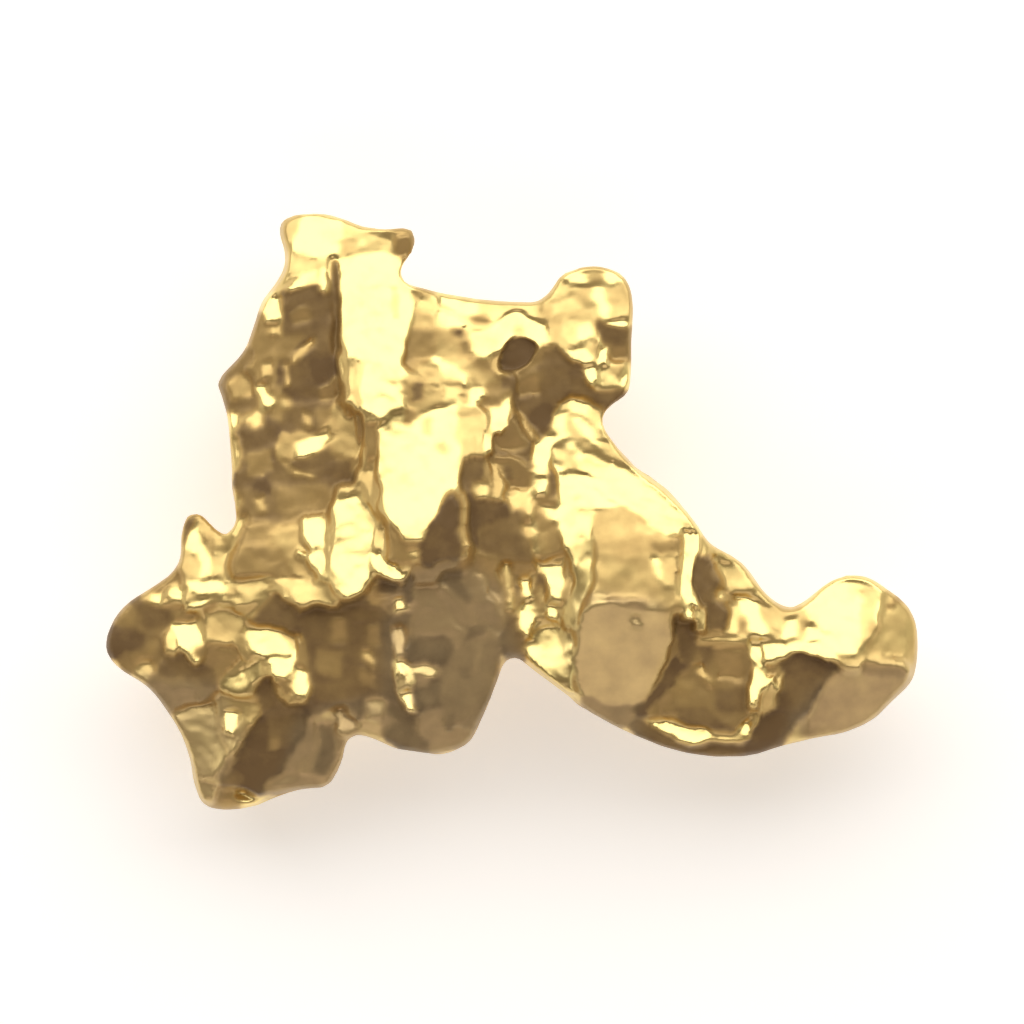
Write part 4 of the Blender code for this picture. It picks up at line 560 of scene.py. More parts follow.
        ("ochre", [(1.65, -0.85), (2.7, -0.85), (2.9, -1.3), (3.2, -1.6), (3.2, -1.75),
                   (1.65, -1.75)]),
    ],
    "wrist and box": [
        ("fair", [(3.55, -1.85), (3.9, -1.95), (3.85, -2.42), (3.65, -2.35), (3.6, -2.15)]),
        ("fair", [(3.8, -0.5), (4.2, -0.75), (4.1, -0.85), (3.8, -0.8)]),
        ("fair", [(4.1, -0.95), (4.4, -1.05), (4.9, -1.55), (4.7, -1.65), (4.2, -1.35)]),
        ("dark", [(3.72, -0.95), (3.9, -0.9), (4.0, -1.0), (4.1, -1.4), (4.0, -1.7),
                  (3.8, -1.82), (3.62, -1.4)]),
        ("fair", [(4.1, -1.55), (4.3, -1.55), (4.4, -1.8), (4.2, -1.8)]),
        ("khaki", [(4.2, -1.5), (4.45, -1.6), (4.5, -1.85), (4.38, -1.85)]),
        ("dark", [(3.88, -1.95), (4.2, -1.85), (4.3, -2.0), (4.2, -2.35), (3.85, -2.38)]),
        ("glint", [(4.5, -1.7), (4.8, -1.75), (4.95, -2.1), (5.12, -2.35), (5.1, -2.5),
                   (4.9, -2.45), (4.75, -2.15), (4.55, -1.95)]),
        ("fair", [(4.3, -1.9), (4.5, -1.9), (4.5, -2.4), (4.3, -2.4)]),
        ("khaki", [(4.5, -2.1), (4.7, -2.1), (4.7, -2.45), (4.52, -2.45)]),
        ("straw", [(3.78, -2.45), (4.75, -2.5), (4.75, -2.62), (3.72, -2.62)]),
        ("khaki", [(5.0, -1.85), (5.3, -1.95), (5.3, -2.4), (5.1, -2.2)]),
        ("glint", [(5.42, -2.15), (5.62, -2.15), (5.6, -2.5), (5.4, -2.52)]),
        ("ochre", [(5.7, -2.1), (5.85, -2.1), (5.85, -2.4), (5.7, -2.42)]),
        ("glint", [(5.9, -2.32), (6.05, -2.35), (6.15, -2.6), (5.9, -2.58)]),
        ("bright", [(4.8, -2.62), (5.6, -2.6), (5.55, -2.78), (5.1, -2.92), (4.95, -2.8)]),
        ("glint", [(5.65, -2.64), (6.2, -2.66), (6.52, -2.85), (6.5, -2.98), (6.1, -2.84),
                   (5.7, -2.78)]),
        ("bright", [(6.1, -2.45), (6.35, -2.45), (6.6, -2.75), (6.55, -2.85),
                   (6.2, -2.62)]),
        ("dark", [(3.2, -2.18), (3.58, -2.18), (3.68, -2.45), (3.66, -2.75), (3.45, -3.05),
                  (3.3, -2.6), (3.2, -2.35)]),
        ("deep", [(3.3, -2.85), (3.45, -3.05), (3.1, -3.55), (2.65, -3.95), (2.52, -3.9),
                  (2.9, -3.5), (3.12, -3.1)]),
        ("dark", [(3.75, -2.75), (4.0, -2.75), (4.0, -3.1), (3.78, -3.05)]),
        ("umber", [(4.05, -2.8), (4.6, -2.8), (4.6, -3.35), (4.15, -3.3)]),
        ("pale", [(3.62, -3.05), (3.78, -3.05), (4.05, -3.4), (4.0, -3.5), (3.7, -3.3)]),
        ("khaki", [(3.4, -3.2), (3.65, -3.35), (3.55, -3.7), (3.3, -3.6)]),
        ("umber", [(2.85, -3.85), (3.15, -3.6), (3.25, -3.65), (3.05, -3.95)]),
        ("dark", [(4.1, -3.5), (4.68, -3.5), (4.68, -4.0), (4.1, -3.95)]),
        ("dark", [(3.2, -3.95), (3.9, -3.9), (4.3, -4.35), (4.0, -4.35), (3.5, -4.2)]),
        ("bright", [(2.8, -4.2), (3.15, -4.18), (3.4, -4.3), (3.85, -4.3), (4.0, -4.42),
                    (3.8, -4.6), (3.4, -4.55), (3.1, -4.42)]),
        ("fair", [(4.0, -4.5), (4.5, -4.48), (4.7, -4.3), (4.75, -4.42), (4.5, -4.6),
                  (4.1, -4.6)]),
        ("bright", [(4.58, -4.35), (4.7, -4.2), (4.8, -4.28), (4.65, -4.42)]),
        ("glint", [(4.8, -2.7), (5.0, -2.7), (5.05, -3.05), (5.12, -3.3), (4.98, -3.55),
                   (4.88, -3.9), (4.76, -3.9), (4.76, -3.4), (4.9, -3.05)]),
        ("khaki", [(5.05, -3.05), (5.35, -3.02), (5.3, -3.2), (5.05, -3.25)]),
        ("pale", [(5.2, -3.25), (5.42, -3.15), (5.38, -3.45), (5.28, -3.5)]),
        ("tan", [(5.02, -3.55), (5.28, -3.55), (5.3, -3.9), (5.1, -4.05), (5.0, -3.9)]),
        ("ochre", [(4.82, -4.05), (4.98, -3.95), (4.95, -4.2), (4.85, -4.3)]),
        ("deep", [(5.45, -3.0), (5.75, -2.86), (6.15, -2.92), (6.5, -3.1), (6.3, -3.25),
                  (5.9, -3.1), (5.5, -3.2)]),
        ("dark", [(5.45, -3.25), (5.9, -3.15), (6.28, -3.3), (6.1, -3.5), (5.7, -3.9),
                  (5.5, -3.9), (5.3, -3.6)]),
        ("deep", [(5.05, -4.1), (5.3, -3.95), (5.45, -3.95), (5.5, -4.05), (5.1, -4.6),
                  (4.75, -4.6), (4.9, -4.35)]),
        ("dark", [(2.6, -4.25), (3.2, -4.55), (3.8, -4.72), (4.5, -4.68), (4.5, -4.78),
                  (3.6, -4.8), (3.0, -4.6)]),
        ("deep", [(5.3, -3.62), (5.5, -3.55), (5.62, -3.95), (5.45, -4.02), (5.3, -3.98)]),
        ("straw", [(5.0, -1.8), (5.2, -1.85), (5.45, -2.1), (5.35, -2.4), (5.1, -2.3),
                   (4.95, -2.0)]),
    ],
    "end knob": [
        ("straw", [(6.45, -2.85), (6.9, -2.92), (7.2, -2.85), (7.9, -2.95), (7.98, -3.2),
                   (7.2, -3.15), (6.5, -3.1)]),
        ("bright", [(6.0, -1.85), (6.3, -1.5), (6.8, -1.42), (6.98, -1.6), (6.95, -2.3),
                    (6.85, -2.85), (6.7, -2.85), (6.6, -2.5), (6.3, -2.4), (6.0, -2.15)]),
        ("fair", [(7.0, -1.5), (7.25, -1.5), (7.3, -1.7), (7.2, -2.5), (7.0, -2.6)]),
        ("straw", [(7.1, -2.2), (7.25, -2.2), (7.22, -2.4), (7.1, -2.4)]),
        ("khaki", [(7.45, -1.85), (7.62, -1.85), (7.6, -2.0), (7.45, -2.0)]),
        ("umber", [(6.95, -3.05), (7.9, -3.15), (7.85, -3.3), (7.0, -3.25)]),
    ],
    "left lobe": [
        ("straw", [(-6.6, -0.2), (-6.3, 0.0), (-5.8, -0.5), (-5.75, -1.3), (-6.5, -1.35),
                   (-6.68, -0.9)]),
        ("fair", [(-6.3, -1.3), (-5.2, -1.35), (-4.7, -1.35), (-3.6, -1.4), (-3.55, -1.85),
                  (-4.3, -1.87), (-4.72, -1.62), (-5.3, -2.15), (-5.9, -2.3),
                  (-6.25, -2.0)]),
        ("straw", [(-5.9, -2.3), (-5.3, -2.22), (-4.9, -2.28), (-4.2, -2.52), (-4.2, -3.0),
                   (-4.05, -3.7), (-4.35, -3.75), (-4.5, -3.4), (-4.75, -3.4),
                   (-5.0, -3.2), (-5.2, -3.62), (-5.6, -3.82), (-5.8, -3.3),
                   (-5.4, -2.9), (-5.6, -2.6)]),
        ("khaki", [(-7.2, -1.65), (-6.65, -1.2), (-6.5, -1.5), (-6.95, -1.65)]),
        ("khaki", [(-6.2, -1.85), (-5.95, -1.8), (-5.85, -2.0), (-6.15, -2.05)]),
        ("dark", [(-6.55, -0.25), (-6.35, -0.1), (-6.4, -0.4), (-6.6, -0.6)]),
        ("bright", [(-6.45, -0.45), (-6.32, -0.3), (-6.25, -0.6), (-6.05, -0.75),
                    (-6.0, -1.2), (-6.15, -1.25), (-6.2, -0.85), (-6.5, -0.75)]),
        ("ochre", [(-6.2, -0.3), (-6.0, -0.4), (-5.95, -0.9), (-6.1, -0.7)]),
        ("straw", [(-6.45, -0.9), (-6.25, -0.85), (-6.15, -1.1), (-6.3, -1.25),
                   (-6.48, -1.2)]),
        ("fair", [(-5.95, -0.7), (-5.7, -0.8), (-5.75, -1.2), (-5.95, -1.3)]),
        ("bright", [(-6.45, -1.35), (-6.2, -1.35), (-5.9, -1.3), (-5.7, -1.5),
                    (-5.8, -1.65), (-6.2, -1.65), (-6.4, -1.55)]),
        ("khaki", [(-6.85, -1.25), (-6.6, -1.15), (-6.55, -1.4), (-6.9, -1.45)]),
        ("glint", [(-6.85, -1.5), (-6.62, -1.48), (-6.6, -1.8), (-6.75, -1.75),
                   (-6.9, -1.62)]),
        ("glint", [(-7.2, -1.68), (-7.02, -1.68), (-7.02, -1.84), (-7.2, -1.82)]),
        ("dark", [(-7.5, -1.75), (-7.25, -1.85), (-7.0, -1.95), (-6.8, -2.1), (-6.85, -2.3),
                  (-7.3, -2.25)]),
        ("deep", [(-7.95, -2.4), (-7.55, -2.3), (-7.3, -2.45), (-7.4, -2.75),
                  (-7.9, -2.75)]),
        ("khaki", [(-7.75, -2.05), (-7.55, -2.05), (-7.5, -2.25), (-7.75, -2.25)]),
        ("khaki", [(-7.3, -2.55), (-7.05, -2.55), (-7.05, -2.85), (-7.3, -2.85)]),
        ("fair", [(-6.95, -2.55), (-6.8, -2.35), (-6.65, -2.6), (-6.75, -2.85),
                  (-6.95, -2.8)]),
        ("straw", [(-7.45, -3.0), (-7.25, -2.95), (-7.15, -3.2), (-7.3, -3.25)]),
        ("umber", [(-7.6, -2.85), (-7.4, -2.8), (-7.35, -2.95), (-7.55, -3.0)]),
        ("dark", [(-6.95, -2.95), (-6.6, -2.85), (-6.4, -3.1), (-6.5, -3.3),
                  (-7.0, -3.25)]),
        ("khaki", [(-6.7, -1.95), (-6.3, -2.0), (-6.25, -2.15), (-6.7, -2.15)]),
        ("bright", [(-6.5, -1.88), (-6.2, -1.75), (-6.1, -1.8), (-6.3, -1.97),
                    (-6.5, -1.97)]),
        ("fair", [(-6.1, -2.0), (-5.85, -1.85), (-5.5, -2.15), (-5.6, -2.4), (-6.1, -2.35)]),
        ("glint", [(-5.75, -1.85), (-5.45, -1.7), (-5.25, -1.7), (-5.3, -1.8),
                    (-5.7, -1.95)]),
        ("ochre", [(-5.7, -2.0), (-5.4, -1.9), (-5.1, -1.8), (-5.15, -1.9), (-5.5, -2.1)]),
        ("fair", [(-5.6, -1.38), (-4.95, -1.35), (-4.55, -1.6), (-4.35, -1.75),
                  (-4.4, -1.85), (-4.7, -1.65), (-5.0, -1.6), (-5.2, -1.75),
                  (-5.4, -1.65)]),
        ("ochre", [(-5.65, -1.55), (-5.5, -1.5), (-5.45, -1.65), (-5.65, -1.7)]),
        ("dark", [(-4.75, -1.68), (-4.4, -1.88), (-4.3, -2.1), (-4.35, -2.35),
                  (-4.9, -2.28), (-5.2, -2.2)]),
        ("bright", [(-6.72, -2.25), (-6.45, -2.2), (-6.3, -2.18), (-6.22, -2.5),
                    (-6.35, -2.75), (-6.22, -2.98), (-6.35, -3.02), (-6.55, -2.8)]),
        ("khaki", [(-6.3, -2.7), (-6.15, -2.65), (-6.15, -2.85), (-6.28, -2.88)]),
        ("umber", [(-6.05, -2.65), (-5.65, -2.75), (-5.6, -2.95), (-5.85, -3.1),
                   (-6.1, -3.0)]),
        ("dark", [(-6.2, -3.05), (-5.95, -3.15), (-5.85, -3.45), (-6.2, -3.5)]),
        ("bright", [(-5.3, -2.35), (-4.95, -2.35), (-4.6, -2.52), (-4.45, -2.75),
                    (-4.3, -2.82), (-4.4, -2.98), (-4.9, -2.85), (-5.15, -2.85),
                    (-5.28, -2.6)]),
        ("fair", [(-4.5, -2.52), (-4.28, -2.58), (-4.28, -2.78), (-4.42, -2.72)]),
        ("glint", [(-4.95, -2.93), (-4.45, -2.92), (-4.38, -3.15), (-4.5, -3.32),
                   (-4.75, -3.3)]),
        ("dark", [(-5.1, -3.55), (-4.8, -3.3), (-4.75, -3.55), (-4.6, -3.75), (-4.9, -4.0),
                  (-5.05, -3.75)]),
        ("straw", [(-4.72, -3.48), (-4.55, -3.5), (-4.5, -3.7), (-4.6, -3.72)]),
        ("khaki", [(-4.6, -3.4), (-4.38, -3.35), (-4.4, -3.6), (-4.55, -3.55)]),
        ("glint", [(-4.32, -3.2), (-4.15, -3.22), (-4.1, -3.7), (-4.28, -3.65)]),
        ("dark", [(-4.0, -2.0), (-3.7, -1.98), (-3.7, -2.4), (-4.0, -2.5)]),
        ("umber", [(-3.6, -2.1), (-3.3, -2.1), (-3.3, -2.6), (-3.6, -2.6)]),
        ("dark", [(-3.25, -1.9), (-2.85, -1.8), (-2.75, -2.2), (-3.2, -2.3)]),
        ("umber", [(-2.85, -2.3), (-2.65, -2.2), (-2.6, -2.6), (-2.85, -2.7)]),
        ("dark", [(-3.0, -2.2), (-2.9, -2.3), (-2.95, -2.6), (-3.2, -2.6)]),
        ("pale", [(-3.0, -2.75), (-2.85, -2.72), (-2.7, -3.0), (-2.72, -3.2),
                  (-2.85, -3.05), (-2.98, -3.0)]),
        ("khaki", [(-3.9, -2.7), (-3.4, -2.8), (-3.4, -3.3), (-3.9, -3.2)]),
        ("dark", [(-3.25, -2.9), (-3.1, -2.9), (-3.05, -3.5), (-3.25, -3.5)]),
        ("umber", [(-3.0, -3.1), (-2.7, -3.25), (-2.7, -3.5), (-3.0, -3.5)]),
        ("dark", [(-3.9, -3.35), (-3.4, -3.4), (-3.4, -3.85), (-3.95, -3.8)]),
        ("dark", [(-2.68, -3.3), (-2.5, -3.2), (-2.42, -3.7), (-2.6, -3.6)]),
        ("straw", [(-6.1, -2.0), (-5.6, -1.95), (-5.3, -2.1), (-5.35, -2.45), (-5.3, -2.9),
                   (-5.15, -2.95), (-5.3, -3.05), (-5.45, -2.9), (-5.5, -2.7), (-5.9, -2.6),
                   (-6.15, -2.5)]),
        ("fair", [(-5.55, -1.4), (-5.0, -1.35), (-4.75, -1.5), (-5.0, -1.8), (-5.3, -1.85),
                  (-5.7, -1.95), (-5.75, -1.8), (-5.4, -1.7)]),
        ("khaki", [(-4.32, -2.5), (-4.15, -2.6), (-4.15, -3.15), (-4.38, -3.1), (-4.28, -2.8)]),
        ("bright", [(-5.1, -3.02), (-5.06, -3.3), (-5.3, -3.5), (-5.38, -3.74), (-5.66, -3.72),
                    (-5.8, -3.4), (-5.6, -3.3), (-5.4, -3.2)]),
    ],
    "foot": [
        ("straw", [(-5.95, -3.65), (-5.1, -3.65), (-5.02, -4.0), (-5.28, -4.4), (-5.55, -4.85),
                   (-5.85, -4.5)]),
        ("khaki", [(-7.1, -3.3), (-6.6, -3.25), (-6.5, -3.45), (-7.0, -3.5)]),
        ("umber", [(-6.9, -3.55), (-6.4, -3.55), (-6.3, -3.8), (-6.75, -3.8)]),
        ("glint", [(-5.72, -3.98), (-5.5, -3.95), (-5.42, -4.0), (-5.5, -4.2), (-5.58, -4.38),
                   (-5.72, -4.38)]),
        ("straw", [(-5.2, -3.7), (-5.08, -3.8), (-5.05, -4.0), (-5.2, -4.25), (-5.42, -4.55),
                  (-5.5, -4.8), (-5.6, -4.7), (-5.45, -4.4), (-5.28, -4.1), (-5.22, -3.9)]),
        ("umber", [(-5.55, -4.9), (-5.45, -4.95), (-5.75, -5.3), (-5.85, -5.3)]),
        ("deep", [(-5.0, -4.2), (-4.88, -4.2), (-4.9, -4.8), (-5.15, -5.1), (-5.45, -5.0),
                  (-5.35, -4.6)]),
        ("dark", [(-4.85, -4.1), (-4.2, -4.05), (-4.15, -4.4), (-4.5, -4.75),
                  (-4.85, -4.6)]),
        ("umber", [(-4.85, -4.5), (-4.6, -4.55), (-4.6, -4.72), (-4.82, -4.75)]),
        ("deep", [(-4.45, -4.8), (-4.3, -4.65), (-4.5, -5.05), (-4.9, -5.3), (-5.15, -5.5),
                  (-5.3, -5.45), (-5.0, -5.15)]),
        ("dark", [(-5.8, -5.35), (-5.5, -5.1), (-5.3, -5.3), (-5.5, -5.5), (-5.75, -5.5)]),
        ("glint", [(-5.48, -5.65), (-5.38, -5.6), (-5.22, -5.8), (-5.3, -5.85)]),
        ("khaki", [(-5.9, -5.65), (-5.55, -5.6), (-5.5, -5.8), (-5.95, -5.82)]),
        ("umber", [(-4.05, -4.2), (-3.95, -4.2), (-3.98, -4.7), (-4.25, -5.1),
                   (-4.45, -5.1), (-4.15, -4.6)]),
        ("dark", [(-3.85, -4.2), (-3.6, -4.3), (-3.5, -4.9), (-3.7, -5.3), (-3.95, -5.2),
                  (-3.85, -4.7)]),
        ("khaki", [(-4.9, -5.45), (-4.4, -5.25), (-3.95, -5.35), (-4.4, -5.5)]),
        ("pale", [(-3.5, -4.0), (-3.35, -3.98), (-3.05, -4.2), (-3.1, -4.35),
                  (-3.5, -4.4)]),
        ("ochre", [(-2.95, -3.85), (-2.7, -3.7), (-2.52, -3.85), (-2.55, -4.0),
                   (-2.75, -4.2), (-2.92, -4.15)]),
        ("deep", [(-3.2, -3.95), (-3.0, -3.8), (-2.98, -4.1), (-3.08, -4.15)]),
        ("straw", [(-6.35, -5.3), (-5.95, -5.4), (-6.05, -5.75), (-6.3, -5.7)]),
    ],
    "middle lobe": [
        ("dark", [(-2.7, -1.38), (-2.3, -1.4), (-2.3, -1.62), (-2.65, -1.6)]),
        ("bright", [(-2.32, -1.75), (-2.2, -1.72), (-2.1, -1.92), (-2.3, -1.95)]),
        ("khaki", [(-2.6, -1.75), (-2.35, -1.8), (-2.35, -2.0), (-2.5, -2.0)]),
        ("dark", [(-2.5, -2.08), (-2.05, -2.05), (-2.05, -2.2), (-2.4, -2.2)]),
        ("dark", [(-2.12, -1.35), (-1.98, -1.35), (-2.0, -1.75), (-2.12, -1.75)]),
        ("khaki", [(-1.9, -1.5), (-1.5, -1.45), (-1.4, -2.0), (-1.9, -2.0)]),
        ("umber", [(-1.5, -1.4), (-1.3, -1.5), (-0.85, -1.95), (-1.0, -2.4), (-1.2, -2.1),
                   (-1.35, -1.9)]),
        ("dark", [(-1.4, -1.2), (-1.1, -1.35), (-0.75, -1.7), (-0.8, -1.82), (-1.05, -1.7),
                  (-1.4, -1.35)]),
        ("umber", [(-0.8, -1.85), (-0.3, -1.8), (-0.15, -2.2), (-0.7, -2.2)]),
        ("dark", [(-0.95, -2.3), (-0.5, -2.25), (-0.6, -2.4), (-0.8, -2.48)]),
        ("umber", [(-1.95, -2.15), (-1.72, -2.1), (-1.75, -2.3), (-1.95, -2.3)]),
        ("pale", [(-2.38, -2.3), (-2.2, -2.28), (-2.15, -2.6), (-2.28, -2.9),
                  (-2.38, -2.85)]),
        ("glint", [(-2.35, -2.98), (-2.2, -2.98), (-2.1, -3.1), (-2.15, -3.25),
                   (-2.32, -3.2)]),
        ("fair", [(-2.2, -3.28), (-2.0, -3.2), (-1.92, -3.4), (-1.98, -3.6), (-2.1, -3.5)]),
        ("glint", [(-2.1, -3.6), (-1.98, -3.6), (-1.96, -3.95), (-2.08, -3.95)]),
        ("fair", [(-1.98, -3.08), (-1.7, -3.05), (-1.58, -3.2), (-1.62, -3.3),
                  (-1.9, -3.18)]),
        ("deep", [(-2.2, -2.75), (-2.0, -2.6), (-1.9, -2.7), (-2.05, -2.95), (-2.2, -2.9)]),
        ("dark", [(-1.85, -2.55), (-1.35, -2.55), (-1.38, -2.95), (-1.8, -2.98)]),
        ("umber", [(-1.9, -3.3), (-1.65, -3.35), (-1.6, -3.5), (-1.85, -3.5)]),
        ("deep", [(-1.95, -3.55), (-1.85, -3.55), (-1.75, -3.9), (-1.88, -4.0),
                  (-1.95, -3.85)]),
        ("dark", [(-1.8, -3.55), (-1.5, -3.5), (-1.4, -3.7), (-1.6, -3.85),
                  (-1.75, -3.8)]),
        ("dark", [(-1.05, -3.1), (-0.8, -3.1), (-0.8, -3.3), (-1.05, -3.3)]),
        ("khaki", [(-0.72, -2.5), (-0.58, -2.5), (-0.6, -3.2), (-0.72, -3.2)]),
        ("dark", [(-1.35, -4.05), (-1.2, -4.05), (-1.22, -4.35), (-1.35, -4.35)]),
        ("umber", [(-1.85, -4.0), (-1.5, -3.9), (-1.4, -4.3), (-1.6, -4.6), (-1.85, -4.4)]),
        ("dark", [(-2.4, -3.9), (-2.2, -3.95), (-1.95, -4.3), (-1.7, -4.6), (-2.0, -4.7),
                  (-2.3, -4.4)]),
        ("umber", [(-2.45, -4.05), (-2.3, -4.1), (-2.25, -4.25), (-2.5, -4.2)]),
    ],
}

# Ridges and, below zero, grooves: line, height, half width.
RIDGES = {
    "band crease": ([(-3.58, 5.0), (-3.55, 4.0), (-3.45, 3.2), (-3.35, 2.4)], -0.12, 0.10),
    "lee ridge": ([(-0.98, 0.3), (-0.92, -0.2), (-0.86, -0.75)], 0.05, 0.08),
    "lobe ridge": ([(-2.32, -2.3), (-2.3, -3.0), (-2.1, -3.4), (-2.03, -3.95)], 0.06, 0.09),
}


# Where the film and painted shade turn greyer, a painted grey shade on the lower faces: corners.
GREY_SHADE_AREAS = [
    [(-2.5, -1.3), (-1.0, -0.9), (-0.2, -1.5), (0.1, -2.8), (-0.5, -5.0), (-2.6, -5.0),
     (-2.6, -2.5)],
    [(-7.5, -3.2), (-5.9, -3.4), (-5.3, -4.4), (-6.0, -6.0), (-7.0, -5.5), (-8.0, -3.5)],
    [(-4.3, -4.1), (-2.5, -3.6), (-2.5, -4.8), (-3.5, -6.0), (-5.5, -5.9), (-4.6, -5.2)],
    [(1.2, -1.6), (3.0, -1.8), (3.2, -2.6), (2.5, -4.0), (2.8, -4.8), (0.8, -3.8)],
    [(5.5, -4.1), (6.5, -3.1), (8.3, -3.0), (8.0, -4.5), (5.5, -5.0)],
]


# ---------------------------------------------------------------- drawing on the skin
def distance_to_line(points, line, closed=False):
    """Shortest distance from each point to a line of corners."""
    line = np.array(line, dtype=float)
    ends = np.roll(line, -1, 0) if closed else line[1:]
    best = np.full(len(points), np.inf)
    for a, b in zip(line, ends):
        along = b - a
        t = np.clip((points - a) @ along / (along @ along), 0, 1)
        best = np.minimum(best, np.linalg.norm(points - a - t[:, None] * along, axis=1))
    return best


def inside(points, loop):
    """Which points lie inside a closed loop."""
    loop = np.array(loop, dtype=float)
    hit = np.zeros(len(points), dtype=bool)
    for (ax, ay), (bx, by) in zip(loop, np.roll(loop, -1, 0)):
        if ay == by:
            continue
        crosses = (ay > points[:, 1]) != (by > points[:, 1])
        hit ^= crosses & (points[:, 0] < (bx - ax) * (points[:, 1] - ay) / (by - ay) + ax)
    return hit


def ease(t):
    t = np.clip(t, 0, 1)
    return t * t * (3 - 2 * t)


# ---------------------------------------------------------------- the skin
def welded_copy(solid):
    """The solid's surface in one piece, enlarged so that one unit is a millimetre."""
    bm = bmesh.new()
    bm.from_mesh(solid.data)
    bmesh.ops.scale(bm, vec=(1 / MM,) * 3, verts=bm.verts)
    bmesh.ops.remove_doubles(bm, verts=bm.verts, dist=WELD)
    return bm


def evened(bm, grid):
    """The same surface in even squares."""
    mesh = bpy.data.meshes.new("skin")
    bm.to_mesh(mesh)
    bm.free()
    holder = bpy.data.objects.new("skin", mesh)
    bpy.context.scene.collection.objects.link(holder)
    remesh = holder.modifiers.new("even squares", 'REMESH')
    remesh.mode = 'VOXEL'
    remesh.voxel_size = grid
    graph = bpy.context.evaluated_depsgraph_get()
    fresh = bmesh.new()
    fresh.from_object(holder, graph)
    bpy.data.objects.remove(holder, do_unlink=True)
    return fresh


def finer_front(bm):
    """Halve the squares that face up."""
    bm.normal_update()
    front = [f for f in bm.faces if f.normal.z > FRONT_TILT]
    edges = list({e for f in front for e in f.edges})
    bmesh.ops.subdivide_edges(bm, edges=edges, cuts=1, use_grid_fill=True)
    bmesh.ops.triangulate(bm, faces=[f for f in bm.faces if len(f.verts) > 4])
    bmesh.ops.smooth_vert(bm, verts=bm.verts, factor=0.5, use_axis_x=True,
                          use_axis_y=True, use_axis_z=True)


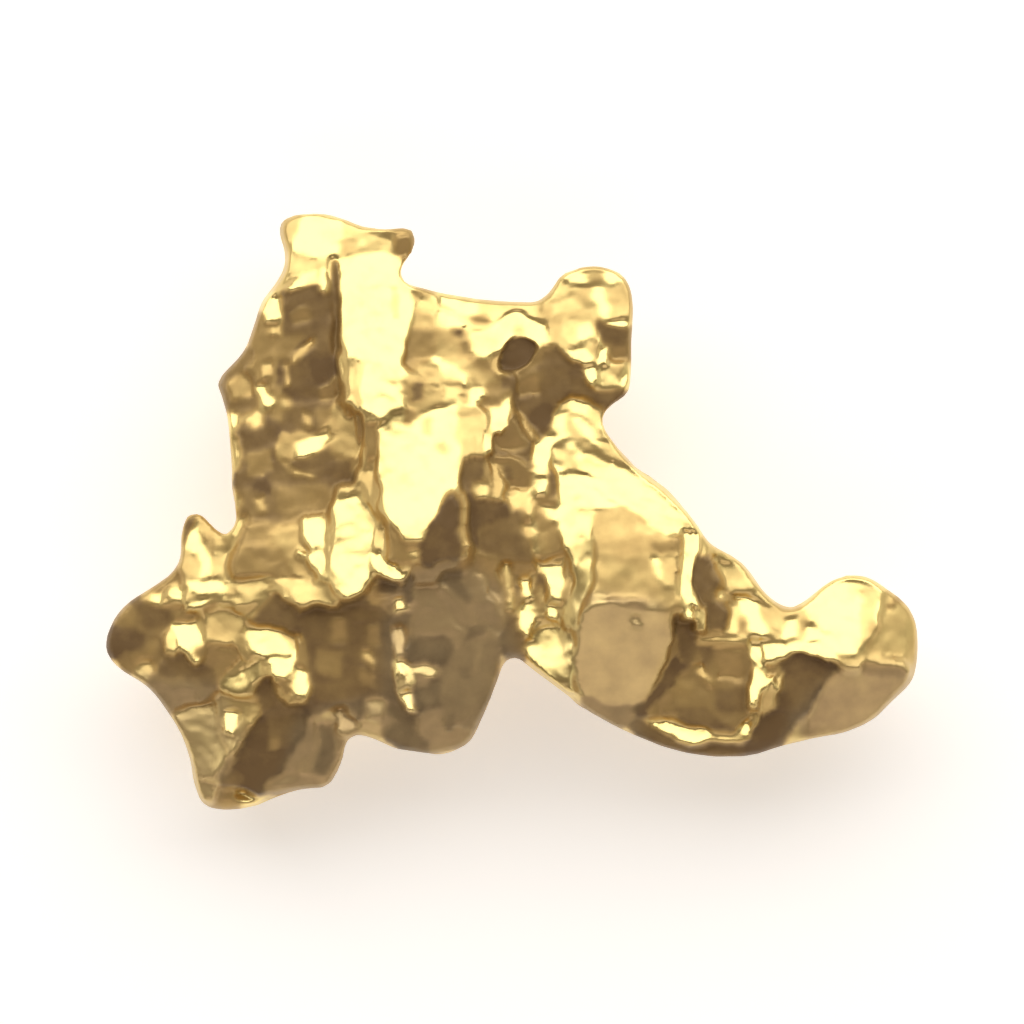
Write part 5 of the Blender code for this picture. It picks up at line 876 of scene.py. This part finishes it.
class Front:
    """The part of the skin that faces up, as arrays that the work is done on."""

    def __init__(self, bm):
        bm.normal_update()
        bm.verts.ensure_lookup_table()
        bm.verts.index_update()
        whole = np.array([v.co for v in bm.verts])
        up = np.array([v.normal.z for v in bm.verts]) > FRONT_TILT
        links = np.array([[v.index for v in e.verts] for e in bm.edges])
        both = up[links].all(axis=1)
        mixed = links[up[links].any(axis=1) & ~both]
        border = np.zeros(len(up), dtype=bool)
        border[mixed.ravel()] = True
        self.members = np.flatnonzero(up)
        place = np.full(len(up), -1)
        place[self.members] = np.arange(len(self.members))
        self.pairs = place[links[both]]
        self.points = whole[self.members, :2]
        self.height = whole[self.members, 2]
        self.fixed = border[self.members]
        self.strayed = self.points.copy()
        for size, reach in WANDERS:
            shift = [noise.noise_vector(Vector((x, y, 5.0)) / size) for x, y in self.points]
            self.strayed += np.array([(v.x, v.y) for v in shift]) * reach
        self.edge = self.edge_distance()
        self.film_and_shade = np.full(len(self.members), SIDE_FILM_AND_SHADE)

    def edge_distance(self):
        """Distance from each point to the rim."""
        rim = self.points[self.fixed]
        tree = KDTree(len(rim))
        for k, (x, y) in enumerate(rim):
            tree.insert((x, y, 0.0), k)
        tree.balance()
        return np.array([tree.find((x, y, 0.0))[2] for x, y in self.points])

    def averaged(self, values, rounds, share=0.5):
        """Values drawn towards the mean of their neighbours, a few times over."""
        a, b = self.pairs.T
        count = len(values)
        near = np.maximum(np.bincount(a, minlength=count) + np.bincount(b, minlength=count), 1)
        for _ in range(rounds):
            total = np.bincount(a, values[b], count) + np.bincount(b, values[a], count)
            values = values + share * (total / near - values)
        return values

    def relax(self, rise, care, hold, plane, rounds=4000):
        """Heights whose rises come nearest to the wanted, tied to planes where held."""
        a, b = self.pairs.T
        count = len(self.height)
        start = self.height.copy()

        def spread(flow):
            return np.bincount(b, flow * care, count) - np.bincount(a, flow * care, count)

        stiff = np.bincount(a, care, count) + np.bincount(b, care, count) + hold
        left = spread(rise - (start[b] - start[a])) + hold * (plane - start)
        change = np.zeros(count)
        eased = left / stiff
        step, size = eased.copy(), left @ eased
        for _ in range(rounds):
            pull = spread(step[b] - step[a]) + hold * step
            share = size / max(step @ pull, 1e-30)
            change += share * step
            left -= share * pull
            eased = left / stiff
            new = left @ eased
            if new < 1e-9:
                break
            step, size = eased + new / size * step, new
        self.height = start + change

    def lay_facets(self, facets, patches):
        """Lean the skin as each facet and patch leans; the metal between them gives way."""
        a, b = self.pairs.T
        tilt = np.full((len(self.height), 2), np.nan)
        hold, plane = np.zeros(len(tilt)), np.zeros(len(tilt))
        laid = np.zeros(len(tilt), dtype=int)
        away = np.full(len(tilt), GAP_REACH)
        sheets = [(corners, level, slope, film_and_shade) for corners, level, slope, film_and_shade in facets.values()]
        for region in patches.values():
            for lean, corners in region:
                rise_x, rise_y, film_and_shade = LEANS[lean]
                sheets.append((corners, None, (rise_x, rise_y), film_and_shade))
        for number, (corners, level, slope, film_and_shade) in enumerate(sheets, 1):
            low, high = np.min(corners, axis=0) - GAP_REACH, np.max(corners, axis=0) + GAP_REACH
            by = np.flatnonzero(((self.strayed > low) & (self.strayed < high)).all(axis=1))
            within = inside(self.strayed[by], corners)
            reach = np.where(within, 0, distance_to_line(self.strayed[by], corners, True))
            if film_and_shade == 0:
                within |= reach < BRIGHT_SPREAD
            on_it = by[within]
            laid[on_it] = number
            closer = within | (reach < away[by])
            nearest = by[closer]
            away[nearest] = reach[closer]
            tilt[nearest] = slope
            # Each sheet's film value goes on the metal near it: a brown film, and painted shade on the faces
            # that lie in shade.
            self.film_and_shade[nearest] = film_and_shade
            if level is not None:
                middle = np.mean(corners, axis=0)
            elif len(on_it):
                middle, level = self.points[on_it].mean(axis=0), self.height[on_it].mean()
            else:
                continue
            hold[on_it] = FACET_GRIP
            plane[on_it] = level + (self.points[on_it] - middle) @ slope
        base = self.averaged(self.height, 6)
        rise = np.sum((tilt[a] + tilt[b]) / 2 * (self.points[b] - self.points[a]), axis=1)
        rise = np.where(np.isnan(rise), base[b] - base[a], rise)
        filled = np.nan_to_num(tilt, nan=9.0)
        turn = np.linalg.norm(filled[a] - filled[b], axis=1)
        calm = np.stack([self.averaged(side, 5) for side in filled.T], axis=1)
        firm = (laid > 0) | (np.linalg.norm(calm - filled, axis=1) < SAME_LEAN / 2)
        firm &= ~np.isnan(tilt[:, 0])
        joint = JOINT_CARE * np.exp(-(turn / SAME_LEAN) ** 2)
        care = GAP_CARE + np.where(firm[a] & firm[b], joint, 0.0)
        care = np.where((laid[a] > 0) & (laid[a] == laid[b]), 1.0, care)
        keep = self.edge < RIM_KEPT
        own = keep[a] & keep[b]
        rise = np.where(own, self.height[b] - self.height[a], rise)
        care = np.where(own, RIM_CARE, care)
        hold[keep], plane[keep] = RIM_GRIP, self.height[keep]
        self.relax(rise, care, hold, plane)

    def grey_shade(self, areas):
        """How far the film and painted shade is tinted grey, from 0 to 1: painted grey shade on the lower faces.
        """
        grey_shade_amount = np.zeros(len(self.height))
        for corners in areas:
            grey_shade_amount[inside(self.strayed, corners)] = 1.0
        return self.averaged(grey_shade_amount, 25)

    def raise_ridges(self, ridges):
        fade = ease(self.edge / RIM_FADE)
        for line, lift, half_width in ridges.values():
            reach = distance_to_line(self.strayed, line) / half_width
            self.height += fade * lift * np.exp(-reach ** 2)


    def crumple(self):
        fade = ease(self.edge / RIM_FADE)
        for size, lift in CRUMPLES:
            wave = [noise.noise(Vector((x, y, 9.0)) / size) for x, y in self.points]
            self.height += fade * lift * np.array(wave)


def shape_sides(bm, front, film_and_shade):
    """Take the sides along with the rim, crumple them and let the film and painted shade run down them."""
    bm.normal_update()
    rim = np.flatnonzero(front.fixed)
    tree = KDTree(len(rim))
    for k in rim:
        tree.insert(bm.verts[front.members[k]].co, k)
    tree.balance()
    rim_film_and_shade = front.averaged(front.film_and_shade, 12)
    on_front = set(front.members.tolist())
    for v in [v for v in bm.verts if v.index not in on_front]:
        place, k, away = tree.find(v.co)
        loose = ease((v.co.z - FOOT_KEPT[0]) / (FOOT_KEPT[1] - FOOT_KEPT[0]))
        lift = (front.height[k] - place.z) * ease(1 - away / RIM_FOLLOW)
        wave = sum(noise.noise(v.co / size) * reach for size, reach in SIDE_CRUMPLES)
        cloud = max(noise.noise(v.co / SIDE_CLOUDS[0] + Vector((7, 0, 0))), 0) * SIDE_CLOUDS[1]
        # Side film and painted shade: the side value plus random clouds, thicker where the crumples dip in.
        side_film_and_shade = SIDE_FILM_AND_SHADE + cloud + 0.3 * max(-wave / 0.05, 0)
        film_and_shade[v.index] = side_film_and_shade + (rim_film_and_shade[k] - side_film_and_shade) * ease(1 - away / FILM_AND_SHADE_RUN)
        v.co += v.normal * wave * loose * ease(away / RIM_FADE)
        v.co.z += lift * loose


def make_skin(solid):
    bm = evened(welded_copy(solid), SKIN_GRID)
    finer_front(bm)
    front = Front(bm)
    front.lay_facets(FACETS, PATCHES)
    front.raise_ridges(RIDGES)
    front.crumple()
    bm.verts.ensure_lookup_table()
    film_and_shade = np.full(len(bm.verts), SIDE_FILM_AND_SHADE)
    shape_sides(bm, front, film_and_shade)
    for k, z in zip(front.members, front.height):
        bm.verts[k].co.z = z
    loose = [bm.verts[k] for k in front.members[~front.fixed]]
    for _ in range(SOFTEN_ROUNDS):
        bmesh.ops.smooth_vert(bm, verts=loose, factor=0.5, use_axis_x=True,
                              use_axis_y=True, use_axis_z=True)
    bm.normal_update()
    # Walls that turn steep are darkened towards STEEP_SHADE: painted shade on the steep walls between facets.
    upward = np.array([v.normal.z for v in bm.verts])[front.members]
    wall = ease((STEEP[0] - upward) / (STEEP[0] - STEEP[1])) * ease(front.edge / RIM_FADE)
    film_and_shade[front.members] = front.averaged(np.maximum(front.film_and_shade, STEEP_SHADE * wall), 3)
    grey_shade_amount = np.zeros(len(bm.verts))
    grey_shade_amount[front.members] = front.grey_shade(GREY_SHADE_AREAS)
    for name, values in (("film_and_shade", film_and_shade), ("grey_shade", grey_shade_amount)):
        layer = bm.verts.layers.float.new(name)
        for v, value in zip(bm.verts, values):
            v[layer] = value
    bmesh.ops.scale(bm, vec=(MM,) * 3, verts=bm.verts)
    bmesh.ops.recalc_face_normals(bm, faces=bm.faces)
    mesh = bpy.data.meshes.new("nugget skin")
    bm.to_mesh(mesh)
    bm.free()
    mesh.shade_smooth()
    skin = bpy.data.objects.new("nugget_skin", mesh)
    bpy.context.scene.collection.objects.link(skin)
    return skin


# ---------------------------------------------------------------- finishes
CLOUDING = 0.2           # how far the film thickens and thins in clouds


def wire(tree, *links):
    for source, out, target, into in links:
        tree.links.new(source.outputs[out], target.inputs[into])


def ramp(tree, source, out, stops):
    """A colour ramp from a value; stops are places and colours."""
    node = tree.nodes.new("ShaderNodeValToRGB")
    steps = node.color_ramp.elements
    while len(steps) < len(stops):
        steps.new(0.5)
    for step, (place, colour) in zip(steps, stops):
        step.position = place
        step.color = (*colour, 1.0)
    tree.links.new(source.outputs[out], node.inputs["Fac"])
    return node


def mapped(tree, source, out, low, high):
    """A value from 0 to 1 turned into one from low to high."""
    node = tree.nodes.new("ShaderNodeMapRange")
    node.inputs["To Min"].default_value = low
    node.inputs["To Max"].default_value = high
    tree.links.new(source.outputs[out], node.inputs["Value"])
    return node


def filmed_and_shaded_gold():
    """Gold, bright where the film-and-shade attribute is 0 and matt brown where it is 1; the brown is a film and
    painted shade.
    """
    material = bpy.data.materials.new("filmed and shaded native gold")
    material.use_nodes = True
    tree = material.node_tree
    gold = tree.nodes["Principled BSDF"]
    film_and_shade = tree.nodes.new("ShaderNodeAttribute")
    film_and_shade.attribute_name = "film_and_shade"
    place = tree.nodes.new("ShaderNodeTexCoord")
    cloud = tree.nodes.new("ShaderNodeTexNoise")
    cloud.inputs["Scale"].default_value = 2200.0
    cloud.inputs["Detail"].default_value = 4.0
    drift = mapped(tree, cloud, "Fac", -CLOUDING, CLOUDING)
    sum_up = tree.nodes.new("ShaderNodeMath")
    sum_up.operation = 'ADD'
    sum_up.use_clamp = True
    wire(tree, (place, "Object", cloud, "Vector"), (film_and_shade, "Fac", sum_up, 0),
         (drift, "Result", sum_up, 1))
    # The film and painted shade darken the gold to brown; the clouds vary it at random.
    brown = ramp(tree, sum_up, "Value", ((0.0, (1.0, 0.785, 0.315)),
                                         (0.5, (0.60, 0.405, 0.145)),
                                         (1.0, (0.19, 0.112, 0.04))))
    # The khaki ramp is the greyer colour of the painted grey shade on the lower faces.
    khaki = ramp(tree, sum_up, "Value", ((0.0, (1.0, 0.785, 0.33)),
                                         (0.5, (0.56, 0.40, 0.19)),
                                         (1.0, (0.20, 0.137, 0.062))))
    grey_shade = tree.nodes.new("ShaderNodeAttribute")
    grey_shade.attribute_name = "grey_shade"
    tint = tree.nodes.new("ShaderNodeMix")
    tint.data_type = 'RGBA'
    wire(tree, (grey_shade, "Fac", tint, "Factor"), (brown, "Color", tint, "A"),
         (khaki, "Color", tint, "B"))
    metal = mapped(tree, sum_up, "Value", 1.0, 0.2)
    dull = mapped(tree, sum_up, "Value", 0.3, 0.55)
    wire(tree, (tint, "Result", gold, "Base Color"), (metal, "Result", gold, "Metallic"),
         (dull, "Result", gold, "Roughness"))
    return material


def studio_white():
    material = bpy.data.materials.new("pale studio floor")
    material.use_nodes = True
    surface = material.node_tree.nodes["Principled BSDF"]
    surface.inputs["Base Color"].default_value = (0.9, 0.89, 0.88, 1.0)
    surface.inputs["Roughness"].default_value = 0.9
    surface.inputs["Emission Color"].default_value = (1.0, 0.99, 0.97, 1.0)
    surface.inputs["Emission Strength"].default_value = 0.42
    return material


# ---------------------------------------------------------------- studio
FLOOR_DROP = 0.00001     # keeps the floor clear of the feet that stand on it


def polar(distance, azimuth, elevation):
    """A place round the nugget; azimuth is counted from +Y towards +X."""
    a, e = math.radians(azimuth), math.radians(elevation)
    return Vector((distance * math.cos(e) * math.sin(a),
                   distance * math.cos(e) * math.cos(a), distance * math.sin(e)))


def soft_panel(name, azimuth, elevation, size, radiance, colour):
    """A rectangular lamp half a metre away; radiance is how bright its face looks."""
    lamp = bpy.data.lights.new(name, 'AREA')
    lamp.shape = 'RECTANGLE'
    lamp.size, lamp.size_y = size
    lamp.energy = radiance * size[0] * size[1] * math.pi
    lamp.color = colour
    panel = bpy.data.objects.new(name, lamp)
    panel.location = polar(0.5, azimuth, elevation)
    panel.rotation_euler = (Vector((0, 0, 0.003)) - panel.location).to_track_quat('-Z', 'Y').to_euler()
    bpy.context.scene.collection.objects.link(panel)


def set_studio():
    scene = bpy.context.scene
    scene.world = bpy.data.worlds.new("studio surround")
    scene.world.use_nodes = True
    surround = scene.world.node_tree.nodes["Background"]
    surround.inputs["Color"].default_value = (0.12, 0.095, 0.07, 1.0)
    bm = bmesh.new()
    bmesh.ops.create_grid(bm, x_segments=1, y_segments=1, size=2.0)
    mesh = bpy.data.meshes.new("studio floor")
    bm.to_mesh(mesh)
    bm.free()
    mesh.materials.append(studio_white())
    floor = bpy.data.objects.new("studio_floor", mesh)
    floor.location.z = -FLOOR_DROP
    scene.collection.objects.link(floor)
    soft_panel("key panel", 0, 46, (0.95, 0.50), 2.0, (1.0, 0.985, 0.95))
    soft_panel("front panel", 180, 45, (0.6, 0.26), 0.8, (1.0, 0.88, 0.90))
    soft_panel("low front panel", 180, 14, (0.9, 0.26), 0.5, (1.0, 0.94, 0.86))
    soft_panel("low left panel", -90, 12, (0.7, 0.24), 0.35, (1.0, 0.94, 0.86))
    soft_panel("low right panel", 90, 12, (0.7, 0.24), 0.35, (1.0, 0.94, 0.86))
    soft_panel("left panel", -85, 30, (0.35, 0.25), 0.35, (1.0, 0.95, 0.9))
    soft_panel("right panel", 85, 30, (0.35, 0.25), 0.5, (0.95, 1.0, 0.9))
    scene.view_settings.view_transform = 'Standard'


def set_camera():
    """Straight down; the rim's level is 20.48 mm wide in the picture."""
    height, rim_level, width = 0.35, 2.75 * MM, 20.48 * MM
    camera = bpy.data.cameras.new("overhead camera")
    camera.sensor_width = 36.0
    camera.lens = 36.0 * height / width
    camera.clip_start = 0.001
    holder = bpy.data.objects.new("overhead camera", camera)
    holder.location = (0.0, 0.0, height + rim_level)
    bpy.context.scene.collection.objects.link(holder)
    bpy.context.scene.camera = holder


# ---------------------------------------------------------------- assembly
skin = make_skin(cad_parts["gold_nugget"])
skin.data.materials.append(filmed_and_shaded_gold())
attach(skin, "root")
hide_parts("gold_nugget")
set_studio()
set_camera()
